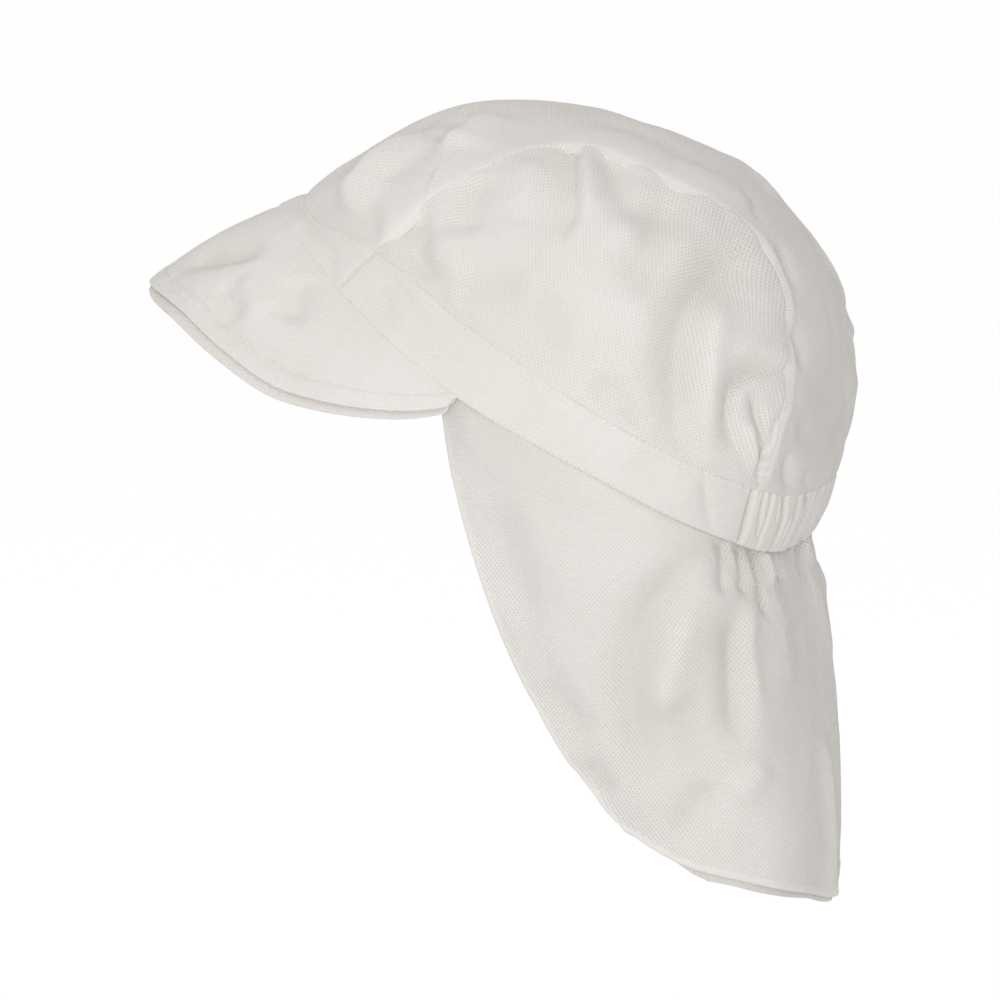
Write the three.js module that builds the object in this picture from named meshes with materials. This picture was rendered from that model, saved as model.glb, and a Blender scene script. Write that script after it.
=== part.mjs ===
// Child's sun hat with a soft peak and a neck flap, open and hollow as it is worn.
// Millimetres, +Z up, peak towards -Y, the wearer's left side towards +X.
// The origin is the middle of the head opening.
import * as THREE from 'three';
import { mergeVertices } from 'three/addons/utils/BufferGeometryUtils.js';

// Size of the rim and how the rim plane leans, front up and back down
const RIM_FRONT_LENGTH = 94;
const RIM_BACK_LENGTH = 91.5;
const RIM_HALF_WIDTH = 75;
const RIM_EGG = 0.2;
const RIM_TILT = THREE.MathUtils.degToRad(30);
const FRONT_SQUARENESS = 0.86;
const FRONT_ENDS = 70;
const BACK_SQUARENESS = 0.72;
const BACK_STARTS = 80;
const BACK_BLEND = 60;

// Cloth thickness, and the gap left where two pieces are sewn together
const CROWN_THICK = 1.6;
const BAND_THICK = 2.2;
const PEAK_THICK = 1.4;
const UNDER_THICK = 1.2;
const FLAP_THICK = 1.3;
const SEAM_GAP = 0.35;
const SEAM_GAP_ANGLE = 0.2;

// Headband round the rim: heights of its two edges from the rim plane, and how far the top leans in
const BAND = [
  { angle: 0, low: -12.4, up: -5.2, lean: 6.5 },
  { angle: 30, low: -9.2, up: -4.2, lean: 6.0 },
  { angle: 45, low: -11.0, up: -0.6, lean: 5.0 },
  { angle: 60, low: -13.5, up: 2.7, lean: 4.0 },
  { angle: 90, low: -15.8, up: 1.6, lean: 3.0 },
  { angle: 120, low: -14.0, up: 1.1, lean: 2.5 },
  { angle: 150, low: -14.6, up: 1.4, lean: 2.5 },
  { angle: 180, low: -18.0, up: 0.3, lean: 2.5 },
];

// Crown ridge: reach of the middle line from the rim centre, by angle from the front over the top,
// and how full the crown is at the sides there
const RIDGE = [
  { angle: 0, reach: 87.5, fullness: 1.0 },
  { angle: 15, reach: 80.2, fullness: 0.97 },
  { angle: 30, reach: 75.0, fullness: 0.95 },
  { angle: 45, reach: 69.8, fullness: 0.9 },
  { angle: 60, reach: 66.3, fullness: 0.85 },
  { angle: 75, reach: 65.4, fullness: 0.82 },
  { angle: 90, reach: 66.8, fullness: 0.8 },
  { angle: 105, reach: 69.9, fullness: 0.8 },
  { angle: 120, reach: 72.9, fullness: 0.8 },
  { angle: 135, reach: 77.4, fullness: 0.82 },
  { angle: 150, reach: 80.3, fullness: 0.85 },
  { angle: 165, reach: 82.1, fullness: 0.87 },
  { angle: 180, reach: 89.0, fullness: 0.9 },
];

// Seam between a side panel and the centre strip: how far up each hoop it lies
const SEAM = [
  { hoop: 56.2, up: 0 },
  { hoop: 59.1, up: 16.7 },
  { hoop: 62.9, up: 33.2 },
  { hoop: 67.2, up: 48.3 },
  { hoop: 70.5, up: 56.0 },
  { hoop: 75.2, up: 61.8 },
  { hoop: 80.3, up: 64.7 },
  { hoop: 86.0, up: 66.9 },
  { hoop: 98.6, up: 67.0 },
  { hoop: 110.5, up: 70.2 },
  { hoop: 117.0, up: 72.5 },
  { hoop: 124.5, up: 74.0 },
  { hoop: 132.0, up: 70.5 },
  { hoop: 137.8, up: 65.5 },
  { hoop: 144.9, up: 56.0 },
  { hoop: 150.3, up: 44.0 },
  { hoop: 152.9, up: 29.5 },
  { hoop: 155.0, up: 15.0 },
  { hoop: 156.8, up: 0 },
];

// Folds and dents of the crown: each runs over three points given as hoop and up angles
const CROWN_FOLDS = [
  { hoop1: 126, up1: 70, hoop2: 120, up2: 40, hoop3: 131, up3: 2, width: 9, depth: -4.0 },
  { hoop1: 131, up1: 58, hoop2: 129, up2: 25, hoop3: 137, up3: 3, width: 6, depth: 2.0 },
  { hoop1: 147, up1: 50, hoop2: 140, up2: 37, hoop3: 136, up3: 26, width: 5, depth: -2.2 },
  { hoop1: 136, up1: 26, hoop2: 139, up2: 13, hoop3: 145, up3: 3, width: 5, depth: -2.2 },
  { hoop1: 76, up1: 62, hoop2: 88, up2: 41, hoop3: 91, up3: 30, width: 4, depth: -2.0 },
  { hoop1: 79, up1: 9, hoop2: 83, up2: 14, hoop3: 89, up3: 19, width: 6, depth: -2.2 },
  { hoop1: 62, up1: 8, hoop2: 68, up2: 5, hoop3: 76, up3: 2, width: 6, depth: -2.0 },
  { hoop1: 65, up1: 36, hoop2: 69, up2: 28, hoop3: 74, up3: 19, width: 8, depth: -1.8 },
  { hoop1: 83, up1: 67, hoop2: 92, up2: 58, hoop3: 102, up3: 45, width: 8, depth: -1.8 },
  { hoop1: 102, up1: 64, hoop2: 106, up2: 43, hoop3: 110, up3: 26, width: 9, depth: -2.5 },
  { hoop1: 110, up1: 8, hoop2: 116, up2: 6, hoop3: 123, up3: 3, width: 6, depth: -1.6 },
  { hoop1: 148, up1: 24, hoop2: 153, up2: 13, hoop3: 158, up3: 2, width: 3.5, depth: -3.0 },
  { hoop1: 150, up1: 27, hoop2: 156, up2: 54, hoop3: 166, up3: 90, width: 5, depth: 2.2 },
  { hoop1: 55, up1: 2, hoop2: 48, up2: 21, hoop3: 40, up3: 42, width: 8, depth: 3.0 },
  { hoop1: 57, up1: 14, hoop2: 57, up2: 27, hoop3: 53, up3: 48, width: 6, depth: -3.2 },
  { hoop1: 60, up1: 25, hoop2: 53, up2: 48, hoop3: 45, up3: 80, width: 8, depth: 2.6 },
  { hoop1: 126, up1: 90, hoop2: 140, up2: 89, hoop3: 160, up3: 84, width: 8, depth: 2.0 },
];

// Gathered back of the band
const ELASTIC_STARTS = 147.5;
const ELASTIC_PLEATS = 13;
const ELASTIC_PLEAT_DEPTH = 1.5;
const ELASTIC_PLEAT_SHARPNESS = 0.7;

// Peak by rim angle: depth from the band, droop below the rim plane, and how much of the under layer shows
const PEAK = [
  { angle: 0, depth: 47.4, droop: 58.5, under: 0.8 },
  { angle: 6, depth: 47.0, droop: 59.6, under: 1.2 },
  { angle: 12, depth: 45.5, droop: 61.0, under: 2.0 },
  { angle: 20, depth: 43.2, droop: 62.8, under: 2.9 },
  { angle: 36, depth: 39.9, droop: 65.4, under: 3.4 },
  { angle: 48, depth: 36.8, droop: 68.4, under: 3.1 },
  { angle: 60, depth: 32.3, droop: 71.4, under: 2.9 },
  { angle: 68, depth: 26.6, droop: 72.8, under: 2.8 },
  { angle: 76, depth: 19.4, droop: 73.5, under: 2.6 },
  { angle: 84, depth: 10.6, droop: 74.0, under: 2.3 },
  { angle: 89.5, depth: 2.6, droop: 74.0, under: 1.8 },
];
const PEAK_END = 88.5;
const PEAK_ARCH = 2.2;
const PEAK_FOLDS = [
  { rim1: 8, out1: 0.35, rim2: 20, out2: 0.5, rim3: 30, out3: 0.62, width: 6, depth: -1.6 },
  { rim1: 30, out1: 0.15, rim2: 34, out2: 0.4, rim3: 36, out3: 0.7, width: 6, depth: -1.2 },
];

// Neck flap by rim angle: where its hem hangs, how far it bellies out on the way, how far
// its top is tucked in under the band, and how far its lower part swells downwards
const FLAP = [
  { angle: 83.8, x: 50, y: 34.2, z: -139.4, bellyX: -1, bellyY: -22.5, tuck: 4.0, swell: -6 },
  { angle: 104, x: 48.5, y: 53, z: -149.5, bellyX: 2, bellyY: -14, tuck: 0.8, swell: -2 },
  { angle: 124, x: 42, y: 67, z: -153.3, bellyX: 5, bellyY: -5, tuck: 1.0, swell: 0 },
  { angle: 142, x: 31, y: 75.6, z: -157.2, bellyX: 5, bellyY: 4, tuck: 1.4, swell: 0 },
  { angle: 161, x: 16.5, y: 80.3, z: -160.8, bellyX: 2, bellyY: 7, tuck: 2.2, swell: 0 },
  { angle: 180, x: 0, y: 82.2, z: -164.5, bellyX: 0, bellyY: 8, tuck: 2.6, swell: 0 },
];
const SWELL_PEAK = 6.75;
const FLAP_START = 83.8;
const FLAP_FOLDS = [
  { rim1: 149, down1: 0.02, rim2: 115, down2: 0.46, rim3: 108, down3: 0.84, width: 9, depth: -3.6 },
  { rim1: 140, down1: 0.18, rim2: 126, down2: 0.41, rim3: 117, down3: 0.64, width: 8, depth: 2.6 },
  { rim1: 152, down1: 0.18, rim2: 140, down2: 0.46, rim3: 138, down3: 0.64, width: 8, depth: -2.6 },
  { rim1: 127, down1: 0.47, rim2: 122, down2: 0.66, rim3: 126, down3: 0.76, width: 7, depth: -2.0 },
  { rim1: 154, down1: 0.0, rim2: 151, down2: 0.08, rim3: 147, down3: 0.18, width: 5, depth: -2.0 },
  { rim1: 166, down1: 0.0, rim2: 163, down2: 0.07, rim3: 160, down3: 0.17, width: 5, depth: -2.6 },
  { rim1: 172, down1: 0.08, rim2: 166, down2: 0.28, rim3: 162, down3: 0.5, width: 8, depth: 1.2 },
  { rim1: 99, down1: 0.93, rim2: 113, down2: 0.83, rim3: 127, down3: 0.73, width: 7, depth: -2.2 },
  { rim1: 88, down1: 0.64, rim2: 91, down2: 0.67, rim3: 95, down3: 0.7, width: 7, depth: -1.8 },
];

const WEAVE = {
  mesh: { color: 0xe4e0d6, roughness: 0.92, metalness: 0 },
  fine: { color: 0xe7e3da, roughness: 0.88, metalness: 0 },
  under: { color: 0xd8d2c2, roughness: 0.94, metalness: 0 },
};

const MIRROR = 180;
const TOP_OF_HOOP = 90;
const FINITE_STEP = 0.4;
const FOLD_STEPS = 8;
const FOLD_FADE = 0.3;
const FOLD_LEFT_AT_END = 0.35;
const WELD_DISTANCE = 0.001;

// A smooth curve through the rows of a table, read at one value of its first column;
// with mirrored, it runs level over the hat's middle plane at 0 and 180 degrees
function readTable(rows, keyColumn, column, at, mirrored = false) {
  const last = rows.length - 1;
  const value = Math.min(Math.max(at, rows[0][keyColumn]), rows[last][keyColumn]);
  let i = 0;
  while (i < last - 1 && rows[i + 1][keyColumn] < value) {
    i += 1;
  }
  const slope = (k) => {
    if (mirrored && rows[k][keyColumn] % MIRROR === 0) {
      return 0;
    }
    const a = rows[Math.max(k - 1, 0)];
    const b = rows[Math.min(k + 1, last)];
    return (b[column] - a[column]) / (b[keyColumn] - a[keyColumn]);
  };
  const span = rows[i + 1][keyColumn] - rows[i][keyColumn];
  const f = (value - rows[i][keyColumn]) / span;
  const f2 = f * f;
  const f3 = f2 * f;
  return (
    rows[i][column] * (2 * f3 - 3 * f2 + 1) +
    rows[i + 1][column] * (3 * f2 - 2 * f3) +
    slope(i) * span * (f3 - 2 * f2 + f) +
    slope(i + 1) * span * (f3 - f2)
  );
}

function smoothstep(f) {
  const c = Math.min(Math.max(f, 0), 1);
  return c * c * (3 - 2 * c);
}

// From rim coordinates (across, along to the back, up from the rim plane) to the hat's own axes
function fromRim(across, along, up) {
  const c = Math.cos(RIM_TILT);
  const s = Math.sin(RIM_TILT);
  return new THREE.Vector3(across, along * c + up * s, -along * s + up * c);
}

// Outline of the rim seen along its axis: an egg, narrow and round at the front, square at the back
function rimPlan(angle, inset) {
  const a = THREE.MathUtils.degToRad(Math.abs(angle));
  const back = smoothstep((Math.abs(angle) - BACK_STARTS) / BACK_BLEND);
  const front = smoothstep((FRONT_ENDS - Math.abs(angle)) / FRONT_ENDS);
  const power = 1 + (BACK_SQUARENESS - 1) * back + (FRONT_SQUARENESS - 1) * front;
  const wide = Math.pow(Math.max(Math.sin(a), 0), power) * (1 - RIM_EGG * Math.cos(a));
  const length = Math.abs(angle) > TOP_OF_HOOP ? RIM_BACK_LENGTH : RIM_FRONT_LENGTH;
  return {
    across: Math.sign(angle) * (RIM_HALF_WIDTH - inset) * wide,
    along: -(length - inset) * Math.cos(a),
  };
}

function bandEdge(angle, edge, inset = 0) {
  const a = Math.abs(angle);
  const lean = edge === 'up' ? readTable(BAND, 'angle', 'lean', a, true) : 0;
  const plan = rimPlan(angle, lean + inset);
  return { across: plan.across, along: plan.along, up: readTable(BAND, 'angle', edge, a, true) };
}

// Crown surface: hoops from the band over the ridge; above 90 the hoop comes down the far side
function crownBase(hoop, up) {
  if (up > TOP_OF_HOOP) {
    const near = crownBase(hoop, MIRROR - up);
    near.x = -near.x;
    return near;
  }
  const foot = bandEdge(hoop, 'up');
  const reach = readTable(RIDGE, 'angle', 'reach', hoop);
  const fullness = readTable(RIDGE, 'angle', 'fullness', hoop);
  const a = THREE.MathUtils.degToRad(hoop);
  const b = THREE.MathUtils.degToRad(up);
  const ridgeAlong = -reach * Math.cos(a);
  const ridgeUp = reach * Math.sin(a) + foot.up * Math.cos(a) ** 2;
  const rise = Math.sin(b);
  return fromRim(
    foot.across * Math.pow(Math.max(Math.cos(b), 0), fullness),
    foot.along + (ridgeAlong - foot.along) * rise * rise,
    foot.up + (ridgeUp - foot.up) * rise
  );
}

function seamUp(hoop) {
  const first = SEAM[0].hoop;
  const last = SEAM[SEAM.length - 1].hoop;
  if (hoop <= first || hoop >= last) {
    return 0;
  }
  return Math.max(readTable(SEAM, 'hoop', 'up', hoop), 0);
}

// Middle line of a fold, as points on the surface that it dents
function foldLine(row, names, surface) {
  const [first, second] = names;
  const points = [];
  for (let i = 0; i <= FOLD_STEPS; i += 1) {
    const f = i / FOLD_STEPS;
    const w1 = 2 * (f - 0.5) * (f - 1);
    const w2 = 4 * f * (1 - f);
    const w3 = 2 * f * (f - 0.5);
    const p = row[first + 1] * w1 + row[first + 2] * w2 + row[first + 3] * w3;
    const q = row[second + 1] * w1 + row[second + 2] * w2 + row[second + 3] * w3;
    points.push(surface(p, q));
  }
  return { points, width: row.width, depth: row.depth };
}

// How far the folds push a point out (positive) or in (negative)
function foldHeight(lines, point) {
  const near = new THREE.Vector3(Math.abs(point.x), point.y, point.z);
  let height = 0;
  for (const line of lines) {
    let best = Infinity;
    let place = 0;
    line.points.slice(1).forEach((end, i) => {
      const start = line.points[i];
      const run = new THREE.Vector3().subVectors(end, start);
      const toPoint = new THREE.Vector3().subVectors(near, start);
      const f = Math.min(Math.max(toPoint.dot(run) / run.lengthSq(), 0), 1);
      const gap = toPoint.addScaledVector(run, -f).length();
      if (gap < best) {
        best = gap;
        place = (i + f) / FOLD_STEPS;
      }
    });
    const fade = smoothstep(place / FOLD_FADE) * smoothstep((1 - place) / FOLD_FADE);
    const strength = FOLD_LEFT_AT_END + (1 - FOLD_LEFT_AT_END) * fade;
    height += line.depth * strength * Math.exp(-((best / line.width) ** 2));
  }
  return height;
}

// Outward normal of a surface at one place
function normalAt(surface, u, v, inside) {
  const du = surface(u + FINITE_STEP, v).sub(surface(u - FINITE_STEP, v));
  const dv = surface(u, v + FINITE_STEP).sub(surface(u, v - FINITE_STEP));
  const normal = du.cross(dv).normalize();
  const away = surface(u, v).sub(inside);
  return normal.dot(away) < 0 ? normal.negate() : normal;
}

// A closed sheet of cloth from a grid of outer points and the points straight inside them
function clothFromGrid(outer, inner, material, name) {
  const rows = outer.length;
  const columns = outer[0].length;
  const positions = [];
  [outer, inner].flat(2).forEach((p) => positions.push(p.x, p.y, p.z));
  const at = (layer, i, j) => layer * rows * columns + i * columns + j;
  const quads = [];
  for (let i = 0; i < rows - 1; i += 1) {
    for (let j = 0; j < columns - 1; j += 1) {
      quads.push([at(0, i, j), at(0, i + 1, j), at(0, i + 1, j + 1), at(0, i, j + 1)]);
      quads.push([at(1, i, j), at(1, i, j + 1), at(1, i + 1, j + 1), at(1, i + 1, j)]);
    }
  }
  for (let i = 0; i < rows - 1; i += 1) {
    quads.push([at(0, i + 1, 0), at(0, i, 0), at(1, i, 0), at(1, i + 1, 0)]);
    const j = columns - 1;
    quads.push([at(0, i, j), at(0, i + 1, j), at(1, i + 1, j), at(1, i, j)]);
  }
  for (let j = 0; j < columns - 1; j += 1) {
    quads.push([at(0, 0, j), at(0, 0, j + 1), at(1, 0, j + 1), at(1, 0, j)]);
    const i = rows - 1;
    quads.push([at(0, i, j + 1), at(0, i, j), at(1, i, j), at(1, i, j + 1)]);
  }
  const corner = (k) => new THREE.Vector3().fromArray(positions, 3 * k);
  const index = quads.flatMap(([a, b, c, d]) => {
    const shortWay = corner(a).distanceTo(corner(c)) <= corner(b).distanceTo(corner(d));
    return shortWay ? [a, b, c, a, c, d] : [a, b, d, b, c, d];
  });
  let geometry = new THREE.BufferGeometry();
  geometry.setAttribute('position', new THREE.Float32BufferAttribute(positions, 3));
  geometry.setIndex(index);
  geometry = mergeVertices(geometry, WELD_DISTANCE);
  if (signedVolume(geometry) < 0) {
    const turned = Array.from(geometry.index.array);
    for (let k = 0; k < turned.length; k += 3) {
      [turned[k], turned[k + 1]] = [turned[k + 1], turned[k]];
    }
    geometry.setIndex(turned);
  }
  geometry.computeVertexNormals();
  const mesh = new THREE.Mesh(geometry, new THREE.MeshStandardMaterial(material));
  mesh.name = name;
  return mesh;
}

function signedVolume(geometry) {
  const p = geometry.attributes.position;
  const corner = (i) => new THREE.Vector3().fromBufferAttribute(p, i);
  let volume = 0;
  const list = geometry.index.array;
  for (let k = 0; k < list.length; k += 3) {
    volume += corner(list[k]).dot(corner(list[k + 1]).cross(corner(list[k + 2])));
  }
  return volume;
}

function spread(from, to, count) {
  return Array.from({ length: count + 1 }, (_, i) => from + ((to - from) * i) / count);
}

const HEAD_CENTRE = fromRim(0, 0, 0);

// Crown: the point of the dented surface and the point one cloth thickness inside it
const FOOT_CALM = 7;
const crownLines = CROWN_FOLDS.map((row) => foldLine(row, ['hoop', 'up'], crownBase));

function crownPair(hoop, up) {
  const base = crownBase(hoop, up);
  const normal = normalAt(crownBase, hoop, up, HEAD_CENTRE);
  const fromFoot = smoothstep(Math.min(up, MIRROR - up) / FOOT_CALM);
  const outer = base.addScaledVector(normal, foldHeight(crownLines, base) * fromFoot);
  const inner = outer.clone().addScaledVector(normal, -CROWN_THICK);
  return [outer, inner];
}

function clothFromPairs(pairs, material, name) {
  const outer = pairs.map((row) => row.map((pair) => pair[0]));
  const inner = pairs.map((row) => row.map((pair) => pair[1]));
  return clothFromGrid(outer, inner, material, name);
}

// Hoops that the side panels and the centre strip share along their seam
const PANEL_END = 0.25;
const WIDE_STEP = 4.5;
const STEEP_STEP = 10;

function seamHoops() {
  const hoops = SEAM.map((row) => row.hoop);
  hoops[0] += PANEL_END;
  hoops[hoops.length - 1] -= PANEL_END;
  return hoops.flatMap((hoop, i) => {
    const last = i === hoops.length - 1;
    const steep = !last && Math.abs(SEAM[i + 1].up - SEAM[i].up) > STEEP_STEP;
    const wide = !last && hoops[i + 1] - hoop > WIDE_STEP;
    return wide || steep ? [hoop, (hoop + hoops[i + 1]) / 2] : [hoop];
  });
}

// Side panels: from the band up to the seam
const PANEL_COLUMNS = 9;
const FOOT_GAP_ANGLE = 0.35;

function sidePanel(side, name) {
  const pairs = seamHoops().map((hoop) => {
    const top = Math.max(seamUp(hoop) - SEAM_GAP_ANGLE, FOOT_GAP_ANGLE * 2);
    return spread(FOOT_GAP_ANGLE, top, PANEL_COLUMNS).map((up) => {
      const pair = crownPair(hoop, up);
      pair.forEach((p) => {
        p.x *= side;
      });
      return pair;
    });
  });
  return clothFromPairs(pairs, WEAVE.mesh, name);
}

// Centre strip: from the band in front over the top to the elastic behind
const STRIP_FRONT = [1, 5, 11, 18, 25, 32, 39, 46, 51, 55];
const STRIP_BACK = [160, 165, 170, 175, 179];
const STRIP_COLUMNS = 11;

function centreStrip() {
  const hoops = [...STRIP_FRONT, ...seamHoops(), ...STRIP_BACK];
  const pairs = hoops.map((hoop) => {
    const foot = Math.max(seamUp(hoop) + SEAM_GAP_ANGLE, FOOT_GAP_ANGLE);
    return spread(foot, MIRROR - foot, STRIP_COLUMNS).map((up) => crownPair(hoop, up));
  });
  return clothFromPairs(pairs, WEAVE.fine, 'crown_centre');
}

// Band: a wall between its two edges; pleats push it in
function bandPair(angle, height, push, thick) {
  const low = bandEdge(angle, 'low');
  const up = bandEdge(angle, 'up');
  const lowIn = bandEdge(angle, 'low', 1);
  const outward = fromRim(low.across, low.along, 0).sub(fromRim(lowIn.across, lowIn.along, 0)).normalize();
  const foot = fromRim(low.across, low.along, low.up);
  const head = fromRim(up.across, up.along, up.up);
  const outer = foot.lerp(head, height).addScaledVector(outward, push);
  return [outer, outer.clone().addScaledVector(outward, -thick)];
}

const BAND_COLUMNS = 60;
const BAND_HEIGHTS = [0, 0.5, 0.975];
const BAND_JOIN_ANGLE = 0.15;

function headband() {
  const end = ELASTIC_STARTS - BAND_JOIN_ANGLE;
  const pairs = spread(-end, end, BAND_COLUMNS).map((angle) =>
    BAND_HEIGHTS.map((height) => bandPair(angle, height, 0, BAND_THICK))
  );
  return clothFromPairs(pairs, WEAVE.fine, 'headband');
}

const PLEAT_COLUMNS = 5;

function bandElastic() {
  const start = ELASTIC_STARTS + BAND_JOIN_ANGLE;
  const end = 2 * MIRROR - start;
  const pairs = spread(start, end, ELASTIC_PLEATS * PLEAT_COLUMNS).map((turn, i) => {
    const angle = turn > MIRROR ? turn - 2 * MIRROR : turn;
    const phase = (Math.PI * i) / PLEAT_COLUMNS;
    const pleat = Math.pow(Math.abs(Math.sin(phase)), ELASTIC_PLEAT_SHARPNESS) - 1;
    return BAND_HEIGHTS.map((height) =>
      bandPair(angle, height, pleat * ELASTIC_PLEAT_DEPTH, BAND_THICK)
    );
  });
  return clothFromPairs(pairs, WEAVE.fine, 'band_elastic');
}

// Peak: out and down from the band's lower edge
const LEAST_PEAK_DEPTH = 0.2;

function peakBase(angle, out, extra = 0) {
  const a = Math.abs(angle);
  const depth = readTable(PEAK, 'angle', 'depth', a, true);
  const droop = THREE.MathUtils.degToRad(readTable(PEAK, 'angle', 'droop', a, true));
  const root = bandEdge(angle, 'low');
  const before = rimPlan(angle - FINITE_STEP, 0);
  const after = rimPlan(angle + FINITE_STEP, 0);
  const across = after.along - before.along;
  const along = before.across - after.across;
  const length = Math.hypot(across, along);
  const reach = SEAM_GAP + Math.max(depth - SEAM_GAP, LEAST_PEAK_DEPTH) * out + extra;
  const arch = PEAK_ARCH * (depth / PEAK[0].depth) * Math.sin(Math.PI * Math.min(out, 1));
  const outward = reach * Math.cos(droop) + arch * Math.sin(droop);
  const down = reach * Math.sin(droop) - arch * Math.cos(droop);
  return fromRim(
    root.across + (outward * across) / length,
    root.along + (outward * along) / length,
    root.up - down
  );
}

const PEAK_COLUMNS = 24;
const PEAK_ROWS = 5;
const PEAK_SCALE = 100;
const BELOW_PEAK = new THREE.Vector3(0, 0, -80);
const peakLines = PEAK_FOLDS.map((row) => foldLine(row, ['rim', 'out'], peakBase));

function peakPair(angle, out, extra, drop, thick) {
  const scaled = (a, o) => peakBase(a, o / PEAK_SCALE);
  const normal = normalAt(scaled, angle, out * PEAK_SCALE, BELOW_PEAK);
  const flat = peakBase(angle, out);
  const base = peakBase(angle, out, extra);
  const outer = base.addScaledVector(normal, foldHeight(peakLines, flat) - drop);
  return [outer, outer.clone().addScaledVector(normal, -thick)];
}

function peakLayer(name, drop, thick, showsUnder, material) {
  const pairs = spread(-PEAK_END, PEAK_END, PEAK_COLUMNS).map((angle) => {
    const row = spread(0, 1, PEAK_ROWS).map((out) => peakPair(angle, out, 0, drop, thick));
    if (showsUnder) {
      const under = readTable(PEAK, 'angle', 'under', Math.abs(angle));
      row.push(peakPair(angle, 1, under, drop, thick));
    }
    return row;
  });
  return clothFromPairs(pairs, material, name);
}

// Neck flap: hangs from the band's lower edge round the back
function flapBase(angle, down) {
  const a = Math.abs(angle);
  const read = (column) => readTable(FLAP, 'angle', column, a, !column.toLowerCase().endsWith('x'));
  const root = bandEdge(a, 'low', read('tuck'));
  const top = fromRim(root.across, root.along, root.up - SEAM_GAP);
  const hem = new THREE.Vector3(read('x'), read('y'), read('z'));
  const middle = top.clone().add(hem).multiplyScalar(0.5);
  middle.x += read('bellyX');
  middle.y += read('bellyY');
  const point = top.multiplyScalar((1 - down) ** 2);
  point.addScaledVector(middle, 2 * down * (1 - down));
  point.addScaledVector(hem, down * down);
  point.z += read('swell') * SWELL_PEAK * down * down * (1 - down);
  if (angle < 0) {
    point.x = -point.x;
  }
  return point;
}

const FLAP_COLUMNS = 35;
const FLAP_ROWS = 11;
const FLAP_SCALE = 100;
const FLAP_CALM = 0.06;
const NECK_BACK = 20;
const flapLines = FLAP_FOLDS.map((row) => foldLine(row, ['rim', 'down'], flapBase));

function flapPair(turn, down) {
  const unwrap = (t) => (t > MIRROR ? t - 2 * MIRROR : t);
  const scaled = (t, d) => flapBase(unwrap(t), d / FLAP_SCALE);
  const base = scaled(turn, down * FLAP_SCALE);
  const inside = new THREE.Vector3(0, NECK_BACK, base.z);
  const normal = normalAt(scaled, turn, down * FLAP_SCALE, inside);
  const outer = base.addScaledVector(normal, foldHeight(flapLines, base) * smoothstep(down / FLAP_CALM));
  return [outer, outer.clone().addScaledVector(normal, -FLAP_THICK)];
}

function neckFlap() {
  const pairs = spread(FLAP_START, 2 * MIRROR - FLAP_START, FLAP_COLUMNS).map((turn) =>
    spread(0, 1, FLAP_ROWS).map((down) => flapPair(turn, down))
  );
  return clothFromPairs(pairs, WEAVE.mesh, 'neck_flap');
}

const hat = new THREE.Group();
hat.name = 'sun_hat';
hat.add(
  sidePanel(1, 'crown_left'),
  sidePanel(-1, 'crown_right'),
  centreStrip(),
  headband(),
  bandElastic(),
  peakLayer('peak', 0, PEAK_THICK, false, WEAVE.fine),
  peakLayer('peak_under', PEAK_THICK + SEAM_GAP, UNDER_THICK, true, WEAVE.under),
  neckFlap()
);

export default hat;
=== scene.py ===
# Child's sun hat with a soft peak and a neck flap: the looks of every surface.
# The script is laid out as a Blender add-on and is run as a script.
import math
import bpy
import numpy as np
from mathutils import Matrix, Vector


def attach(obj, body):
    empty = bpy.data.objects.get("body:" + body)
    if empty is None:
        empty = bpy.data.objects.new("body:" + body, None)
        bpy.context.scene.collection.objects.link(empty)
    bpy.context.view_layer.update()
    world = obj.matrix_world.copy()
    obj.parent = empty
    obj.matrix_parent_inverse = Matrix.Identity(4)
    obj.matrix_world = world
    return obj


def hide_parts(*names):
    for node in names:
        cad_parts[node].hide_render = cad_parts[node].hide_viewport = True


bl_info = {
    "name": "Child's sun hat",
    "version": (1, 0, 0),
    "blender": (4, 5, 0),
    "location": "View3D > Sidebar > Sun hat",
    "description": "Builds a knit sun hat with a soft peak, a gathered band and a neck flap",
    "category": "Object",
}

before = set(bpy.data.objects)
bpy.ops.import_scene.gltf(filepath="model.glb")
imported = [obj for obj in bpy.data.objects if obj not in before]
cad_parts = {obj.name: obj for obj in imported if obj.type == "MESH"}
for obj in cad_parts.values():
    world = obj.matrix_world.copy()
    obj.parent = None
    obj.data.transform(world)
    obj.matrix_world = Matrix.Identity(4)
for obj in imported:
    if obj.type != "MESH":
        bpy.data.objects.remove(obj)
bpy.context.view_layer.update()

# Tables are in millimetres and degrees; MM turns them into metres
MM = 0.001
MIRROR = 180.0
TOP = 90.0


def table(names, *rows):
    """A table as one array for each named column."""
    data = np.array(rows, float)
    return {name: data[:, i] for i, name in enumerate(names.split())}


# Rim of the hat, seen along its axis, and its lean from the level, front high
RIM_FRONT_LENGTH = 94
RIM_BACK_LENGTH = 91.5
RIM_HALF_WIDTH = 75
RIM_EGG = 0.2
RIM_TILT = math.radians(30)
FRONT_SQUARENESS = 0.86
FRONT_ENDS = 70
BACK_SQUARENESS = 0.72
BACK_STARTS = 80
BACK_BLEND = 60
SEAM_GAP = 0.35

# Headband: heights of its two edges from the rim plane, and how far the top leans in
BAND = table(
    "angle low up lean",
    (0, -12.4, -5.2, 6.5),
    (30, -9.2, -4.2, 6.0),
    (45, -11.0, -0.6, 5.0),
    (60, -13.5, 2.7, 4.0),
    (90, -15.8, 1.6, 3.0),
    (120, -14.0, 1.1, 2.5),
    (150, -14.6, 1.4, 2.5),
    (180, -18.0, 0.3, 2.5),
)

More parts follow.
